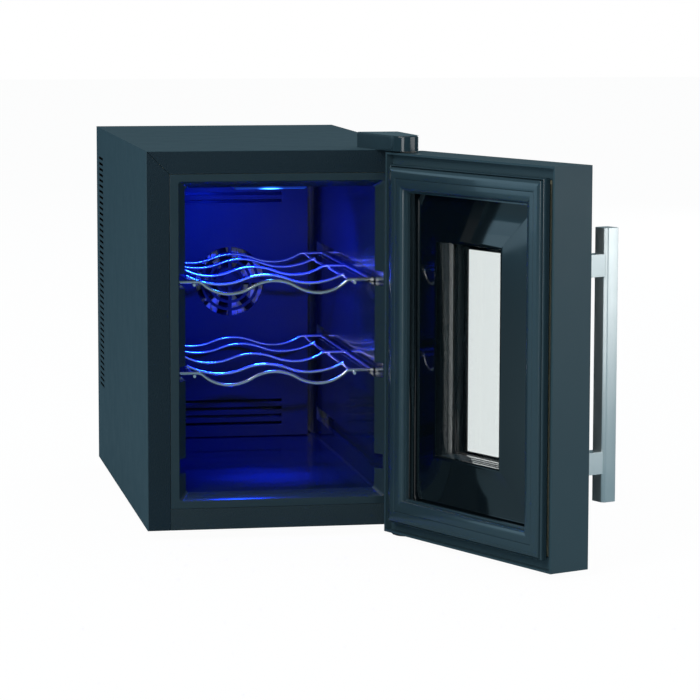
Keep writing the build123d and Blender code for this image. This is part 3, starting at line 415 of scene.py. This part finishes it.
class Wardrobe:
    """Keeps one material per finish."""

    def __init__(self) -> None:
        """Start with nothing made."""
        self.made: dict[str, bpy.types.Material] = {}

    def material(self, finish: Look) -> bpy.types.Material:
        """The material of a finish, built the first time it is wanted."""
        if finish.name not in self.made:
            self.made[finish.name] = finish.material()
        return self.made[finish.name]

    def dress(self, piece: bpy.types.Object, finish: Look) -> None:
        """Give a piece one finish all over.

        Args:
            piece: a new piece or a carried-over node.
            finish: the finish to give it.
        """
        material = self.material(finish)
        if not piece.material_slots:
            piece.data.materials.append(material)
        for place in piece.material_slots:
            place.material = material

    def dress_part(self, piece: bpy.types.Object, finish: Finish, wanted: Callable[[Vector], bool]) -> None:
        """Give some of a piece's faces a second finish.

        Args:
            piece: a piece that has its first finish.
            finish: the second finish.
            wanted: takes a face's centre and says whether it gets the second finish.
        """
        piece.data.materials.append(self.material(finish))
        for face in piece.data.polygons:
            if wanted(face.center):
                face.material_index = len(piece.data.materials) - 1


# --------------------------------------------------------------------------
# Modelling help
# --------------------------------------------------------------------------
def choose(piece: bpy.types.Object) -> None:
    """Make one object the only selected and active one."""
    bpy.ops.object.select_all(action="DESELECT")
    piece.select_set(True)
    bpy.context.view_layer.objects.active = piece


def pick_edges(piece: bpy.types.Object, wanted: Callable[[Vector, Vector], bool]) -> None:
    """Select the edges of the piece in edit mode whose ends pass a test, and no others.

    Args:
        piece: the piece being edited.
        wanted: takes an edge's two ends and says whether to select it.
    """
    bpy.ops.mesh.select_mode(type="EDGE")
    bpy.ops.mesh.select_all(action="DESELECT")
    mesh = bmesh.from_edit_mesh(piece.data)
    for edge in mesh.edges:
        if wanted(edge.verts[0].co, edge.verts[1].co):
            edge.select_set(True)
    mesh.select_flush_mode()
    bmesh.update_edit_mesh(piece.data)


def pick_faces(piece: bpy.types.Object, wanted: Callable[[Vector, Vector], bool]) -> None:
    """Select the faces of the piece in edit mode that pass a test, and no others.

    Args:
        piece: the piece being edited.
        wanted: takes a face's centre and its normal and says whether to select it.
    """
    bpy.ops.mesh.select_mode(type="FACE")
    bpy.ops.mesh.select_all(action="DESELECT")
    mesh = bmesh.from_edit_mesh(piece.data)
    for face in mesh.faces:
        if wanted(face.calc_center_median(), face.normal):
            face.select_set(True)
    bmesh.update_edit_mesh(piece.data)


def apply_bevel(piece: bpy.types.Object, width: float, segments: int, angle_deg: float) -> None:
    """Round the edges that are sharper than an angle, by an applied modifier."""
    bevel = piece.modifiers.new("edges", "BEVEL")
    bevel.width = width
    bevel.segments = segments
    bevel.limit_method = "ANGLE"
    bevel.angle_limit = math.radians(angle_deg)
    bpy.ops.object.modifier_apply(modifier=bevel.name)


def level_shading(piece: bpy.types.Object) -> None:
    """Keep large flat faces evenly shaded up to their rounded edges."""
    weigh = piece.modifiers.new("level", "WEIGHTED_NORMAL")
    weigh.keep_sharp = True
    bpy.ops.object.modifier_apply(modifier=weigh.name)


class Workshop:
    """Makes pieces in the cooler's frame and hands them to the bodies."""

    def __init__(self, frame: dict, wardrobe: Wardrobe) -> None:
        """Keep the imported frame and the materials."""
        self.nodes: dict[str, bpy.types.Object] = frame["nodes"]
        self.slots = {row["node"]: row["material_slot"] for row in frame["record"]["subparts"]}
        self.wardrobe = wardrobe

    def finish_node(self, node: str, finish: Look) -> None:
        """Dress a carried-over node as it is."""
        self.wardrobe.dress(self.nodes[node], finish)
        LOG.info("dressed %s with %s", node, finish.name)

    def softened(
        self, node: str, body: Body, finish: Look, edge: float, smooth_deg: float = 35,
    ) -> None:
        """Stand a copy with rounded edges in for a carried-over node.

        Args:
            node: the node to copy.
            body: the body it rides on.
            finish: what it is dressed in.
            edge: width of the rounded edges in metres; UNBEVELLED leaves them as they are.
            smooth_deg: faces that meet at less than this angle are shaded as one.
        """
        source = self.nodes[node]
        piece = bpy.data.objects.new(f"{node}_finished", source.data.copy())
        bpy.context.collection.objects.link(piece)
        piece.data.materials.clear()
        choose(piece)
        bpy.ops.object.mode_set(mode="EDIT")
        bpy.ops.mesh.select_all(action="SELECT")
        bpy.ops.mesh.remove_doubles(threshold=MERGE_GAP)
        if piece.data.has_custom_normals:
            bpy.ops.mesh.customdata_custom_splitnormals_clear()
        bpy.ops.mesh.dissolve_limited(angle_limit=math.radians(FLAT_DEG))
        bpy.ops.object.mode_set(mode="OBJECT")
        if edge > 0:
            apply_bevel(piece, edge, 2, SHARP_DEG)
        bpy.ops.object.shade_smooth_by_angle(angle=math.radians(smooth_deg))
        level_shading(piece)
        self.hand_over(piece, body, finish, node)

    def hand_over(self, piece: bpy.types.Object, body: Body, finish: Look, node: str) -> None:
        """Dress a piece, let it ride and hide the node it stands in for."""
        self.wardrobe.dress(piece, finish)
        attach(piece, body.value)
        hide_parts(node)
        LOG.info("made %s", piece.name)


# --------------------------------------------------------------------------
# The cabinet
# --------------------------------------------------------------------------
@dataclass
class Cabinet:
    """Casing, front trims, liner and everything fixed to them."""

    shop: Workshop
    trim_edge: float = 0.0005
    moulding_edge: float = 0.0008
    foot_edge: float = 0.001
    cover_smooth_deg: float = 50
    painted_light_lip_back: float = -0.2135

    def build(self) -> None:
        """Dress the cabinet's pieces from the outside in."""
        self.shell()
        self.cold_space()
        self.machine_space()
        self.hinges()

    def shell(self) -> None:
        """Casing, trims, floor, rear cover and feet."""
        soft = self.shop.softened
        soft("outer_casing", Body.CABINET, SLATE_COAT, SOFT_EDGE)
        for name in ("left_front_trim", "right_front_trim", "top_front_trim"):
            soft(name, Body.CABINET, TRIM_GRAIN, self.trim_edge)
        # The bottom rail takes the lighter copy of the trim moulding, a painted light.
        soft("bottom_front_rail", Body.CABINET, RAIL_GRAIN_PAINTED_LIGHT, self.trim_edge)
        soft("base_plate", Body.CABINET, BLACK_SHEET, FINE_EDGE)
        soft("rear_cover", Body.CABINET, BLACK_SHEET, HAIR_EDGE)
        soft("feet", Body.CABINET, RUBBER, self.foot_edge)
        for name in ("rear_cover_screws", "foot_screws"):
            soft(name, Body.CABINET, ZINC, CRISP_EDGE)
        soft("cord_gland", Body.CABINET, RUBBER, CRISP_EDGE)
        self.shop.finish_node("rear_cover_channels", BLACK_MOULDING)
        self.shop.finish_node("cabinet_insulation", FOAM)
        self.shop.finish_node("bulkhead", BLACK_SHEET)

    def cold_space(self) -> None:
        """Liner, duct cover, lamp and what the duct hides."""
        soft = self.shop.softened
        soft("inner_liner", Body.CABINET, LINER_GLOSS, self.moulding_edge)
        # Liner faces ahead of the lip line take the lighter liner copy, a painted light on the front lip.
        self.shop.wardrobe.dress_part(
            bpy.data.objects["inner_liner_finished"], LINER_LIP_PAINTED_LIGHT, lambda centre: centre.y < self.painted_light_lip_back
        )
        soft("air_duct_cover", Body.CABINET, DUCT_TEXTURE, CRISP_EDGE)
        # The lamp housing is given a painted glow.
        soft("lamp_housing", Body.CABINET, HOUSING_PAINTED_GLOW, FINE_EDGE)
        soft("lamp_lens", Body.CABINET, LAMP_GLOW, FINE_EDGE)
        soft("cold_fan_frame", Body.CABINET, BLACK_MOULDING, FINE_EDGE)
        soft("cold_fan_rotor", Body.COLD_FAN, BLACK_MOULDING, UNBEVELLED)
        for name, finish in (
            ("lamp_board", BOARD), ("cold_sink", ALUMINIUM), ("cold_block", ALUMINIUM),
            ("thermoelectric_module", CERAMIC), ("temperature_sensor", PARTS_BLACK),
            ("cold_fan_screws", ZINC),
        ):
            self.shop.finish_node(name, finish)

    def machine_space(self) -> None:
        """What shows through the rear grille and the louvres."""
        soft = self.shop.softened
        soft("hot_fan_frame", Body.CABINET, BLACK_MOULDING, CRISP_EDGE)
        soft("hot_fan_rotor", Body.HOT_FAN, BLACK_MOULDING, UNBEVELLED)
        for name, finish in (
            ("hot_sink", ALUMINIUM), ("hot_fan_screws", ZINC), ("supply_tray", BLACK_MOULDING),
            ("power_board", BOARD), ("power_components", PARTS_BLACK),
        ):
            self.shop.finish_node(name, finish)

    def hinges(self) -> None:
        """Both hinges and their fastenings."""
        soft = self.shop.softened
        soft("top_hinge_cover", Body.CABINET, COVER_GLOSS, UNBEVELLED, self.cover_smooth_deg)
        soft("bottom_hinge_plate", Body.CABINET, BLACK_SHEET, FINE_EDGE)
        for name in (
            "top_hinge_plate", "top_hinge_pin", "top_hinge_screws",
            "bottom_hinge_pin", "bottom_hinge_screws", "hinge_nut_plates",
        ):
            soft(name, Body.CABINET, ZINC, HAIR_EDGE)


# --------------------------------------------------------------------------
# The door
# --------------------------------------------------------------------------
@dataclass
class Door:
    """Frame, seal, inner panel, window and handle.

    Lengths are in millimetres, apart from frame_edge. Depths run from the door's inner face, at 0,
    to its outer face. Profiles are steps inwards, each with the height gained towards the cabinet.
    New pieces are modelled with the door shut and then swung open.
    """

    shop: Workshop
    frame_edge: float = 0.0007
    half_width: float = 128.0
    inner_face: float = -236.0
    low: float = 6.0
    top: float = 365.4
    pin_x: float = 115.5
    pin_y: float = -253.0
    open_deg: float = 114.0
    seal_inset: float = 10.5
    seal_seat: float = 3.0
    seal_profile: tuple[tuple[float, float], ...] = (
        (0.3, 1.8), (0.4, 0.9), (0.5, 0.4), (0.5, -0.4), (0.3, -0.9), (0.2, -0.7),
        (0.2, 2.4), (0.3, 1.2), (0.7, 0.6), (4.6, 0.3), (4.4, -0.2), (0.35, -0.6), (0.35, 0.5),
        (3.8, 0.1), (4.3, -0.6), (1.0, -0.4), (0.9, -0.9), (0.7, -1.6), (0.4, -1.9),
    )
    seal_inner_ledge: float = 1.3
    panel_inset: float = 12.5
    panel_wall: float = 2.0
    recess_inset: float = 34.0
    recess_depth: float = 9.4
    rim_depth: float = 1.9
    rim_side: float = 76.0
    rim_low: float = 79.5
    rim_top: float = 74.9
    rim_land: float = 3.5
    reveal_steps: tuple[tuple[float, float], ...] = ((5.0, 0.5), (3.4, 0.6), (4.4, 0.5))
    reveal_end: float = 19.9
    crease: float = 0.5
    bar_x: float = -113.0
    bar_y: float = -307.0
    bar_low: float = 62.7
    bar_size: tuple[float, float, float] = (15.4, 14.4, 246.0)
    bar_chamfer: float = 2.9
    crease_reach: float = 0.02
    corner_reach: float = 0.0001
    long_edge: float = 0.1
    seal_smooth_deg: float = 40
    panel_smooth_deg: float = 30
    bar_smooth_deg: float = 25

    def build(self) -> None:
        """Dress the door from its frame to its handle."""
        soft = self.shop.softened
        soft("door_frame", Body.DOOR, DOOR_COAT, self.frame_edge)
        self.seal()
        self.panel()
        self.bar()
        soft("door_mask", Body.DOOR, MASK_INK, HAIR_EDGE)
        soft("glazing_spacer", Body.DOOR, SPACER, CRISP_EDGE)
        soft("glass_retainer", Body.DOOR, RUBBER, HAIR_EDGE)
        soft("door_inner_glass", Body.DOOR, CLEAR_PANE, FINE_EDGE)
        soft("door_outer_glass", Body.DOOR, OUTER_PANE, CRISP_EDGE)
        soft("handle_posts", Body.DOOR, POST_STEEL, SOFT_EDGE)
        for name, finish in (
            ("door_insulation", FOAM), ("gasket_magnets", MAGNET), ("handle_bolts", ZINC),
            ("door_top_bush", ACETAL), ("door_bottom_bush", ACETAL),
        ):
            self.shop.finish_node(name, finish)

    def plate(self, name: str, inset: float, depth: float) -> bpy.types.Object:
        """Start a piece as a flat plate that faces the cabinet, and leave it in edit mode.

        Args:
            name: the piece's name.
            inset: how far the plate's edge lies inside the door's edge.
            depth: the plate's depth in the door.

        Returns:
            The piece, with its one face selected.
        """
        bpy.ops.object.select_all(action="DESELECT")
        middle = (0, (self.inner_face - depth) * MM, (self.low + self.top) / 2 * MM)
        bpy.ops.mesh.primitive_plane_add(size=1, location=middle, rotation=(math.radians(-90), 0, 0))
        piece = bpy.context.object
        piece.name = name
        piece.scale = ((self.half_width - inset) * 2 * MM, (self.top - self.low - 2 * inset) * MM, 1)
        bpy.ops.object.transform_apply(location=True, rotation=True, scale=True)
        bpy.ops.object.mode_set(mode="EDIT")
        bpy.ops.mesh.select_mode(type="FACE")
        bpy.ops.mesh.select_all(action="SELECT")
        return piece

    def step(self, inwards: float, raised: float) -> None:
        """Step the selected face in all round, and towards the cabinet by what it is raised."""
        bpy.ops.mesh.inset(thickness=inwards * MM, depth=raised * MM, use_even_offset=True)

    def lift(self, raised: float) -> None:
        """Raise the selected face on a straight wall."""
        bpy.ops.mesh.extrude_region_move(TRANSFORM_OT_translate={"value": (0, raised * MM, 0)})

    def swing(self, piece: bpy.types.Object) -> None:
        """Turn a piece modelled with the door shut to where the open door holds it."""
        pin = Vector((self.pin_x * MM, self.pin_y * MM, 0))
        turn = Matrix.Rotation(math.radians(self.open_deg), 4, "Z")
        piece.matrix_world = Matrix.Translation(pin) @ turn @ Matrix.Translation(-pin)
        choose(piece)
        bpy.ops.object.transform_apply(location=True, rotation=True, scale=True)

    def seal(self) -> None:
        """Magnetic seal: a round outer bead, a fine groove and two crowned lands, mitred at the corners."""
        piece = self.plate("door_gasket_finished", self.seal_inset, self.seal_seat)
        self.lift(self.seal_seat)
        for inwards, raised in self.seal_profile:
            self.step(inwards, raised)
        self.step(self.seal_inner_ledge, 0)
        self.lift(-self.seal_height())
        seat_y = (self.inner_face - self.seal_seat) * MM
        pick_faces(piece, lambda centre, normal: abs(centre.y - seat_y) < SAME_PLACE)
        bpy.ops.mesh.delete(type="FACE")
        bpy.ops.mesh.select_mode(type="EDGE")
        bpy.ops.mesh.select_all(action="DESELECT")
        bpy.ops.mesh.select_non_manifold()
        bpy.ops.mesh.bridge_edge_loops()
        bpy.ops.mesh.select_all(action="SELECT")
        bpy.ops.mesh.normals_make_consistent(inside=False)
        reach = self.corner_reach
        pick_edges(piece, lambda a, b: abs(a.x - b.x) > reach and abs(a.z - b.z) > reach)
        bpy.ops.mesh.mark_sharp()
        bpy.ops.object.mode_set(mode="OBJECT")
        bpy.ops.object.shade_smooth_by_angle(angle=math.radians(self.seal_smooth_deg))
        self.swing(piece)
        self.shop.hand_over(piece, Body.DOOR, SEAL_RUBBER, "door_gasket")

    def seal_height(self) -> float:
        """How far the seal's last ledge stands over its seat."""
        return self.seal_seat + sum(raised for _, raised in self.seal_profile)

    def panel(self) -> None:
        """Glossy inner panel: flange, recess, shallow pyramid, rim and stepped window reveal."""
        piece = self.plate("door_inner_panel_finished", self.panel_inset, self.seal_seat)
        self.step(self.recess_inset - self.panel_inset, 0)
        self.lift(self.seal_seat - self.recess_depth)
        foot_w = 2 * (self.half_width - self.recess_inset)
        foot_h = self.top - self.low - 2 * self.recess_inset
        rim_h = self.top - self.low - self.rim_low - self.rim_top
        middle = (self.low + self.top) / 2
        bpy.ops.mesh.extrude_region_move()
        bpy.ops.transform.resize(
            value=(2 * (self.half_width - self.rim_side) / foot_w, 1, rim_h / foot_h),
            center_override=(0, (self.inner_face - self.recess_depth) * MM, middle * MM),
        )
        lifted = (0, (self.recess_depth - self.rim_depth) * MM, (self.rim_low - self.rim_top) / 2 * MM)
        bpy.ops.transform.translate(value=lifted)
        self.step(self.rim_land, 0)
        depth = self.rim_depth
        for down, inwards in self.reveal_steps:
            self.lift(-down)
            self.step(inwards, 0)
            depth += down
        self.lift(depth - self.reveal_end)
        bpy.ops.mesh.delete(type="FACE")
        reach = self.crease_reach
        pick_edges(piece, lambda a, b: min(abs(a.x - b.x), abs(a.z - b.z)) > reach)
        bpy.ops.mesh.bevel(offset=self.crease * MM, segments=2, affect="EDGES")
        bpy.ops.object.mode_set(mode="OBJECT")
        wall = piece.modifiers.new("wall", "SOLIDIFY")
        wall.thickness = self.panel_wall * MM
        wall.offset = -1
        wall.use_even_offset = True
        bpy.ops.object.modifier_apply(modifier=wall.name)
        apply_bevel(piece, FINE_EDGE, 2, SHARP_DEG)
        bpy.ops.object.shade_smooth_by_angle(angle=math.radians(self.panel_smooth_deg))
        self.swing(piece)
        self.shop.hand_over(piece, Body.DOOR, PANEL_GLOSS, "door_inner_panel")

    def bar(self) -> None:
        """Handle bar with a broad chamfer along its inner corner and softly rounded ends."""
        bpy.ops.object.select_all(action="DESELECT")
        width, depth, length = (side * MM for side in self.bar_size)
        place = (self.bar_x * MM, self.bar_y * MM, self.bar_low * MM + length / 2)
        bpy.ops.mesh.primitive_cube_add(size=1, location=place)
        piece = bpy.context.object
        piece.name = "handle_bar_finished"
        piece.scale = (width, depth, length)
        bpy.ops.object.transform_apply(location=True, rotation=True, scale=True)
        bpy.ops.object.mode_set(mode="EDIT")
        corner = Vector((self.bar_x * MM - width / 2, self.bar_y * MM + depth / 2))
        length_needed, reach = self.long_edge, self.corner_reach
        pick_edges(
            piece, lambda a, b: abs(a.z - b.z) > length_needed and (a.xy - corner).length < reach
        )
        bpy.ops.mesh.bevel(offset=self.bar_chamfer * MM, segments=1, affect="EDGES")
        bpy.ops.object.mode_set(mode="OBJECT")
        apply_bevel(piece, SOFT_EDGE, 3, 30)
        bpy.ops.object.shade_smooth_by_angle(angle=math.radians(self.bar_smooth_deg))
        self.swing(piece)
        self.shop.hand_over(piece, Body.DOOR, BRUSHED, "handle_bar")


# --------------------------------------------------------------------------
# The shelves
# --------------------------------------------------------------------------
@dataclass
class Shelves:
    """The two chrome wire shelves."""

    shop: Workshop
    smooth_deg: float = 60

    def build(self) -> None:
        """Dress both shelves."""
        for body in (Body.UPPER_SHELF, Body.LOWER_SHELF):
            self.shop.softened(body.value, body, CHROME, UNBEVELLED, self.smooth_deg)


# --------------------------------------------------------------------------
# The studio
# --------------------------------------------------------------------------
@dataclass(frozen=True)
class Softbox:
    """A soft square light: where it hangs, what it points at, its side, power and colour."""

    name: str
    at: tuple[float, float, float]
    to: tuple[float, float, float]
    size: float
    watts: float
    colour: tuple[float, float, float] = (1.0, 1.0, 1.0)

    def hang(self) -> None:
        """Hang the light, kept out of sight and out of the window."""
        data = bpy.data.lights.new(self.name, "AREA")
        data.shape = "SQUARE"
        data.size = self.size
        data.energy = self.watts
        data.color = self.colour
        light = bpy.data.objects.new(self.name, data)
        light.location = self.at
        light.rotation_mode = "QUATERNION"
        light.rotation_quaternion = (Vector(self.to) - Vector(self.at)).to_track_quat("-Z", "Y")
        light.visible_camera = False
        light.visible_transmission = False
        bpy.context.collection.objects.link(light)


SOFTBOXES = (
    Softbox("key_light", (-2.0, -2.6, 2.4), (0.05, -0.2, 0.2), 1.8, 46),
    Softbox("fill_light", (2.9, -1.9, 0.45), (0.1, -0.2, 0.2), 2.4, 30),
    Softbox("front_card", (-1.2, -3.8, 0.5), (0.1, -0.4, 0.2), 1.2, 13),
    Softbox("back_light", (2.4, 2.8, 1.0), (0.0, 0.0, 0.2), 1.8, 24),
    Softbox("top_light", (0.0, 0.0, 3.2), (0.0, 0.0, 0.0), 2.4, 11),
    Softbox("slate_card", (-3.0, 1.3, 0.5), (0.1, -0.3, 0.2), 2.4, 11, (0.5, 0.8, 1.0)),
)


@dataclass
class Studio:
    """Camera, lights, floor and surroundings."""

    eye: tuple[float, float, float] = (-0.45845, -3.09986, 0.53548)
    yaw_deg: float = 10.336
    pitch_deg: float = -7.0
    roll_deg: float = 0.14
    lens_mm: float = 159.79
    sensor_mm: float = 36.0
    surround: tuple[float, float, float] = (0.080, 0.135, 0.162)
    floor_dim: tuple[float, float, float] = (0.30, 0.44, 0.50)
    floor_lift: float = 0.97
    floor_grey: float = 0.06
    floor_side: float = 24.0
    floor_drop: float = 0.0005
    lamp_size: tuple[float, float] = (0.05, 0.02)
    lamp_colour: tuple[float, float, float] = (0.002, 0.022, 1.0)
    nearest: float = 0.05
    farthest: float = 50.0

    def camera(self) -> None:
        """Place the camera and make it the scene's own."""
        data = bpy.data.cameras.new("studio_camera")
        data.lens = self.lens_mm
        data.sensor_width = self.sensor_mm
        data.clip_start = self.nearest
        data.clip_end = self.farthest
        camera = bpy.data.objects.new("studio_camera", data)
        bpy.context.collection.objects.link(camera)
        turn = Matrix.Rotation(math.radians(-self.yaw_deg), 4, "Z")
        tilt = Matrix.Rotation(math.radians(90 + self.pitch_deg), 4, "X")
        roll = Matrix.Rotation(math.radians(self.roll_deg), 4, "Z")
        camera.matrix_world = Matrix.Translation(Vector(self.eye)) @ turn @ tilt @ roll
        bpy.context.scene.camera = camera

    def lamp(self, name: str, place: Vector, watts: float, spread_deg: float, back_deg: float) -> None:
        """Light the cavity from its lamp.

        Args:
            name: the light's name.
            place: where it hangs.
            watts: its power.
            spread_deg: the angle it shines over.
            back_deg: how far it leans towards the cavity's back wall.
        """
        data = bpy.data.lights.new(name, "AREA")
        data.shape = "RECTANGLE"
        data.size, data.size_y = self.lamp_size
        data.energy = watts
        data.spread = math.radians(spread_deg)
        data.color = self.lamp_colour
        light = bpy.data.objects.new(name, data)
        light.location = place
        light.rotation_euler = (math.radians(back_deg), 0, 0)
        bpy.context.collection.objects.link(light)

    def floor(self) -> None:
        """Lay a wide pale floor that stays dim in the object's reflections."""
        bpy.ops.object.select_all(action="DESELECT")
        bpy.ops.mesh.primitive_plane_add(size=self.floor_side, location=(0, 0, -self.floor_drop))
        ground = bpy.context.object
        ground.name = "studio_floor"
        pad = Pad("pale_floor")
        grey = self.floor_grey
        pad.shader.inputs["Base Color"].default_value = (grey, grey, grey, 1)
        pad.shader.inputs["Roughness"].default_value = 1.0
        pad.shader.inputs["Specular IOR Level"].default_value = 0.0
        pad.shader.inputs["Emission Color"].default_value = (1, 1, 1, 1)
        pad.shader.inputs["Emission Strength"].default_value = self.floor_lift
        dim = pad.add("ShaderNodeBsdfDiffuse")
        dim.inputs["Color"].default_value = (*self.floor_dim, 1)
        path = pad.add("ShaderNodeLightPath")
        seen = pad.add("ShaderNodeMath", operation="MAXIMUM")
        pad.join(path, "Is Camera Ray", seen, 0)
        pad.join(path, "Is Transmission Ray", seen, 1)
        mix = pad.add("ShaderNodeMixShader")
        pad.join(seen, "Value", mix, 0)
        pad.join(dim, "BSDF", mix, 1)
        pad.join(pad.shader, "BSDF", mix, 2)
        pad.join(mix, "Shader", pad.output, "Surface")
        ground.data.materials.append(pad.material)

    def surroundings(self) -> None:
        """White backdrop for the camera and through glass, dim even light for everything else."""
        world = bpy.data.worlds.new("studio")
        bpy.context.scene.world = world
        world.use_nodes = True
        tree = world.node_tree
        tree.nodes.clear()
        out = tree.nodes.new("ShaderNodeOutputWorld")
        mix = tree.nodes.new("ShaderNodeMixShader")
        path = tree.nodes.new("ShaderNodeLightPath")
        dim = tree.nodes.new("ShaderNodeBackground")
        dim.inputs["Color"].default_value = (*self.surround, 1)
        white = tree.nodes.new("ShaderNodeBackground")
        white.inputs["Color"].default_value = (1, 1, 1, 1)
        seen = tree.nodes.new("ShaderNodeMath")
        seen.operation = "MAXIMUM"
        tree.links.new(path.outputs["Is Camera Ray"], seen.inputs[0])
        tree.links.new(path.outputs["Is Transmission Ray"], seen.inputs[1])
        tree.links.new(seen.outputs[0], mix.inputs[0])
        tree.links.new(dim.outputs[0], mix.inputs[1])
        tree.links.new(white.outputs[0], mix.inputs[2])
        tree.links.new(mix.outputs[0], out.inputs["Surface"])

    def build(self, lamp_place: Vector) -> None:
        """Set up the whole studio."""
        scene = bpy.context.scene
        scene.view_settings.view_transform = "Standard"
        scene.view_settings.look = "None"
        for softbox in SOFTBOXES:
            softbox.hang()
        self.lamp("cavity_beam", lamp_place, 0.25, 30, 2)
        self.lamp("cavity_wash", lamp_place, 2.1, 128, 42)
        self.floor()
        self.surroundings()


def main() -> None:
    """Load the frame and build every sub-assembly."""
    logging.basicConfig(level=logging.INFO, format="%(name)s: %(message)s")
    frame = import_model()
    bpy.ops.object.select_all(action="DESELECT")
    studio = Studio()
    studio.camera()
    shop = Workshop(frame, Wardrobe())
    for assembly in (Cabinet(shop), Door(shop), Shelves(shop)):
        assembly.build()
    low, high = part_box("lamp_lens")
    middle = (Vector(low) + Vector(high)) / 2
    studio.build(Vector((middle.x, middle.y, low[2] - LAMP_DROP)))


if __name__ == "__main__":
    main()
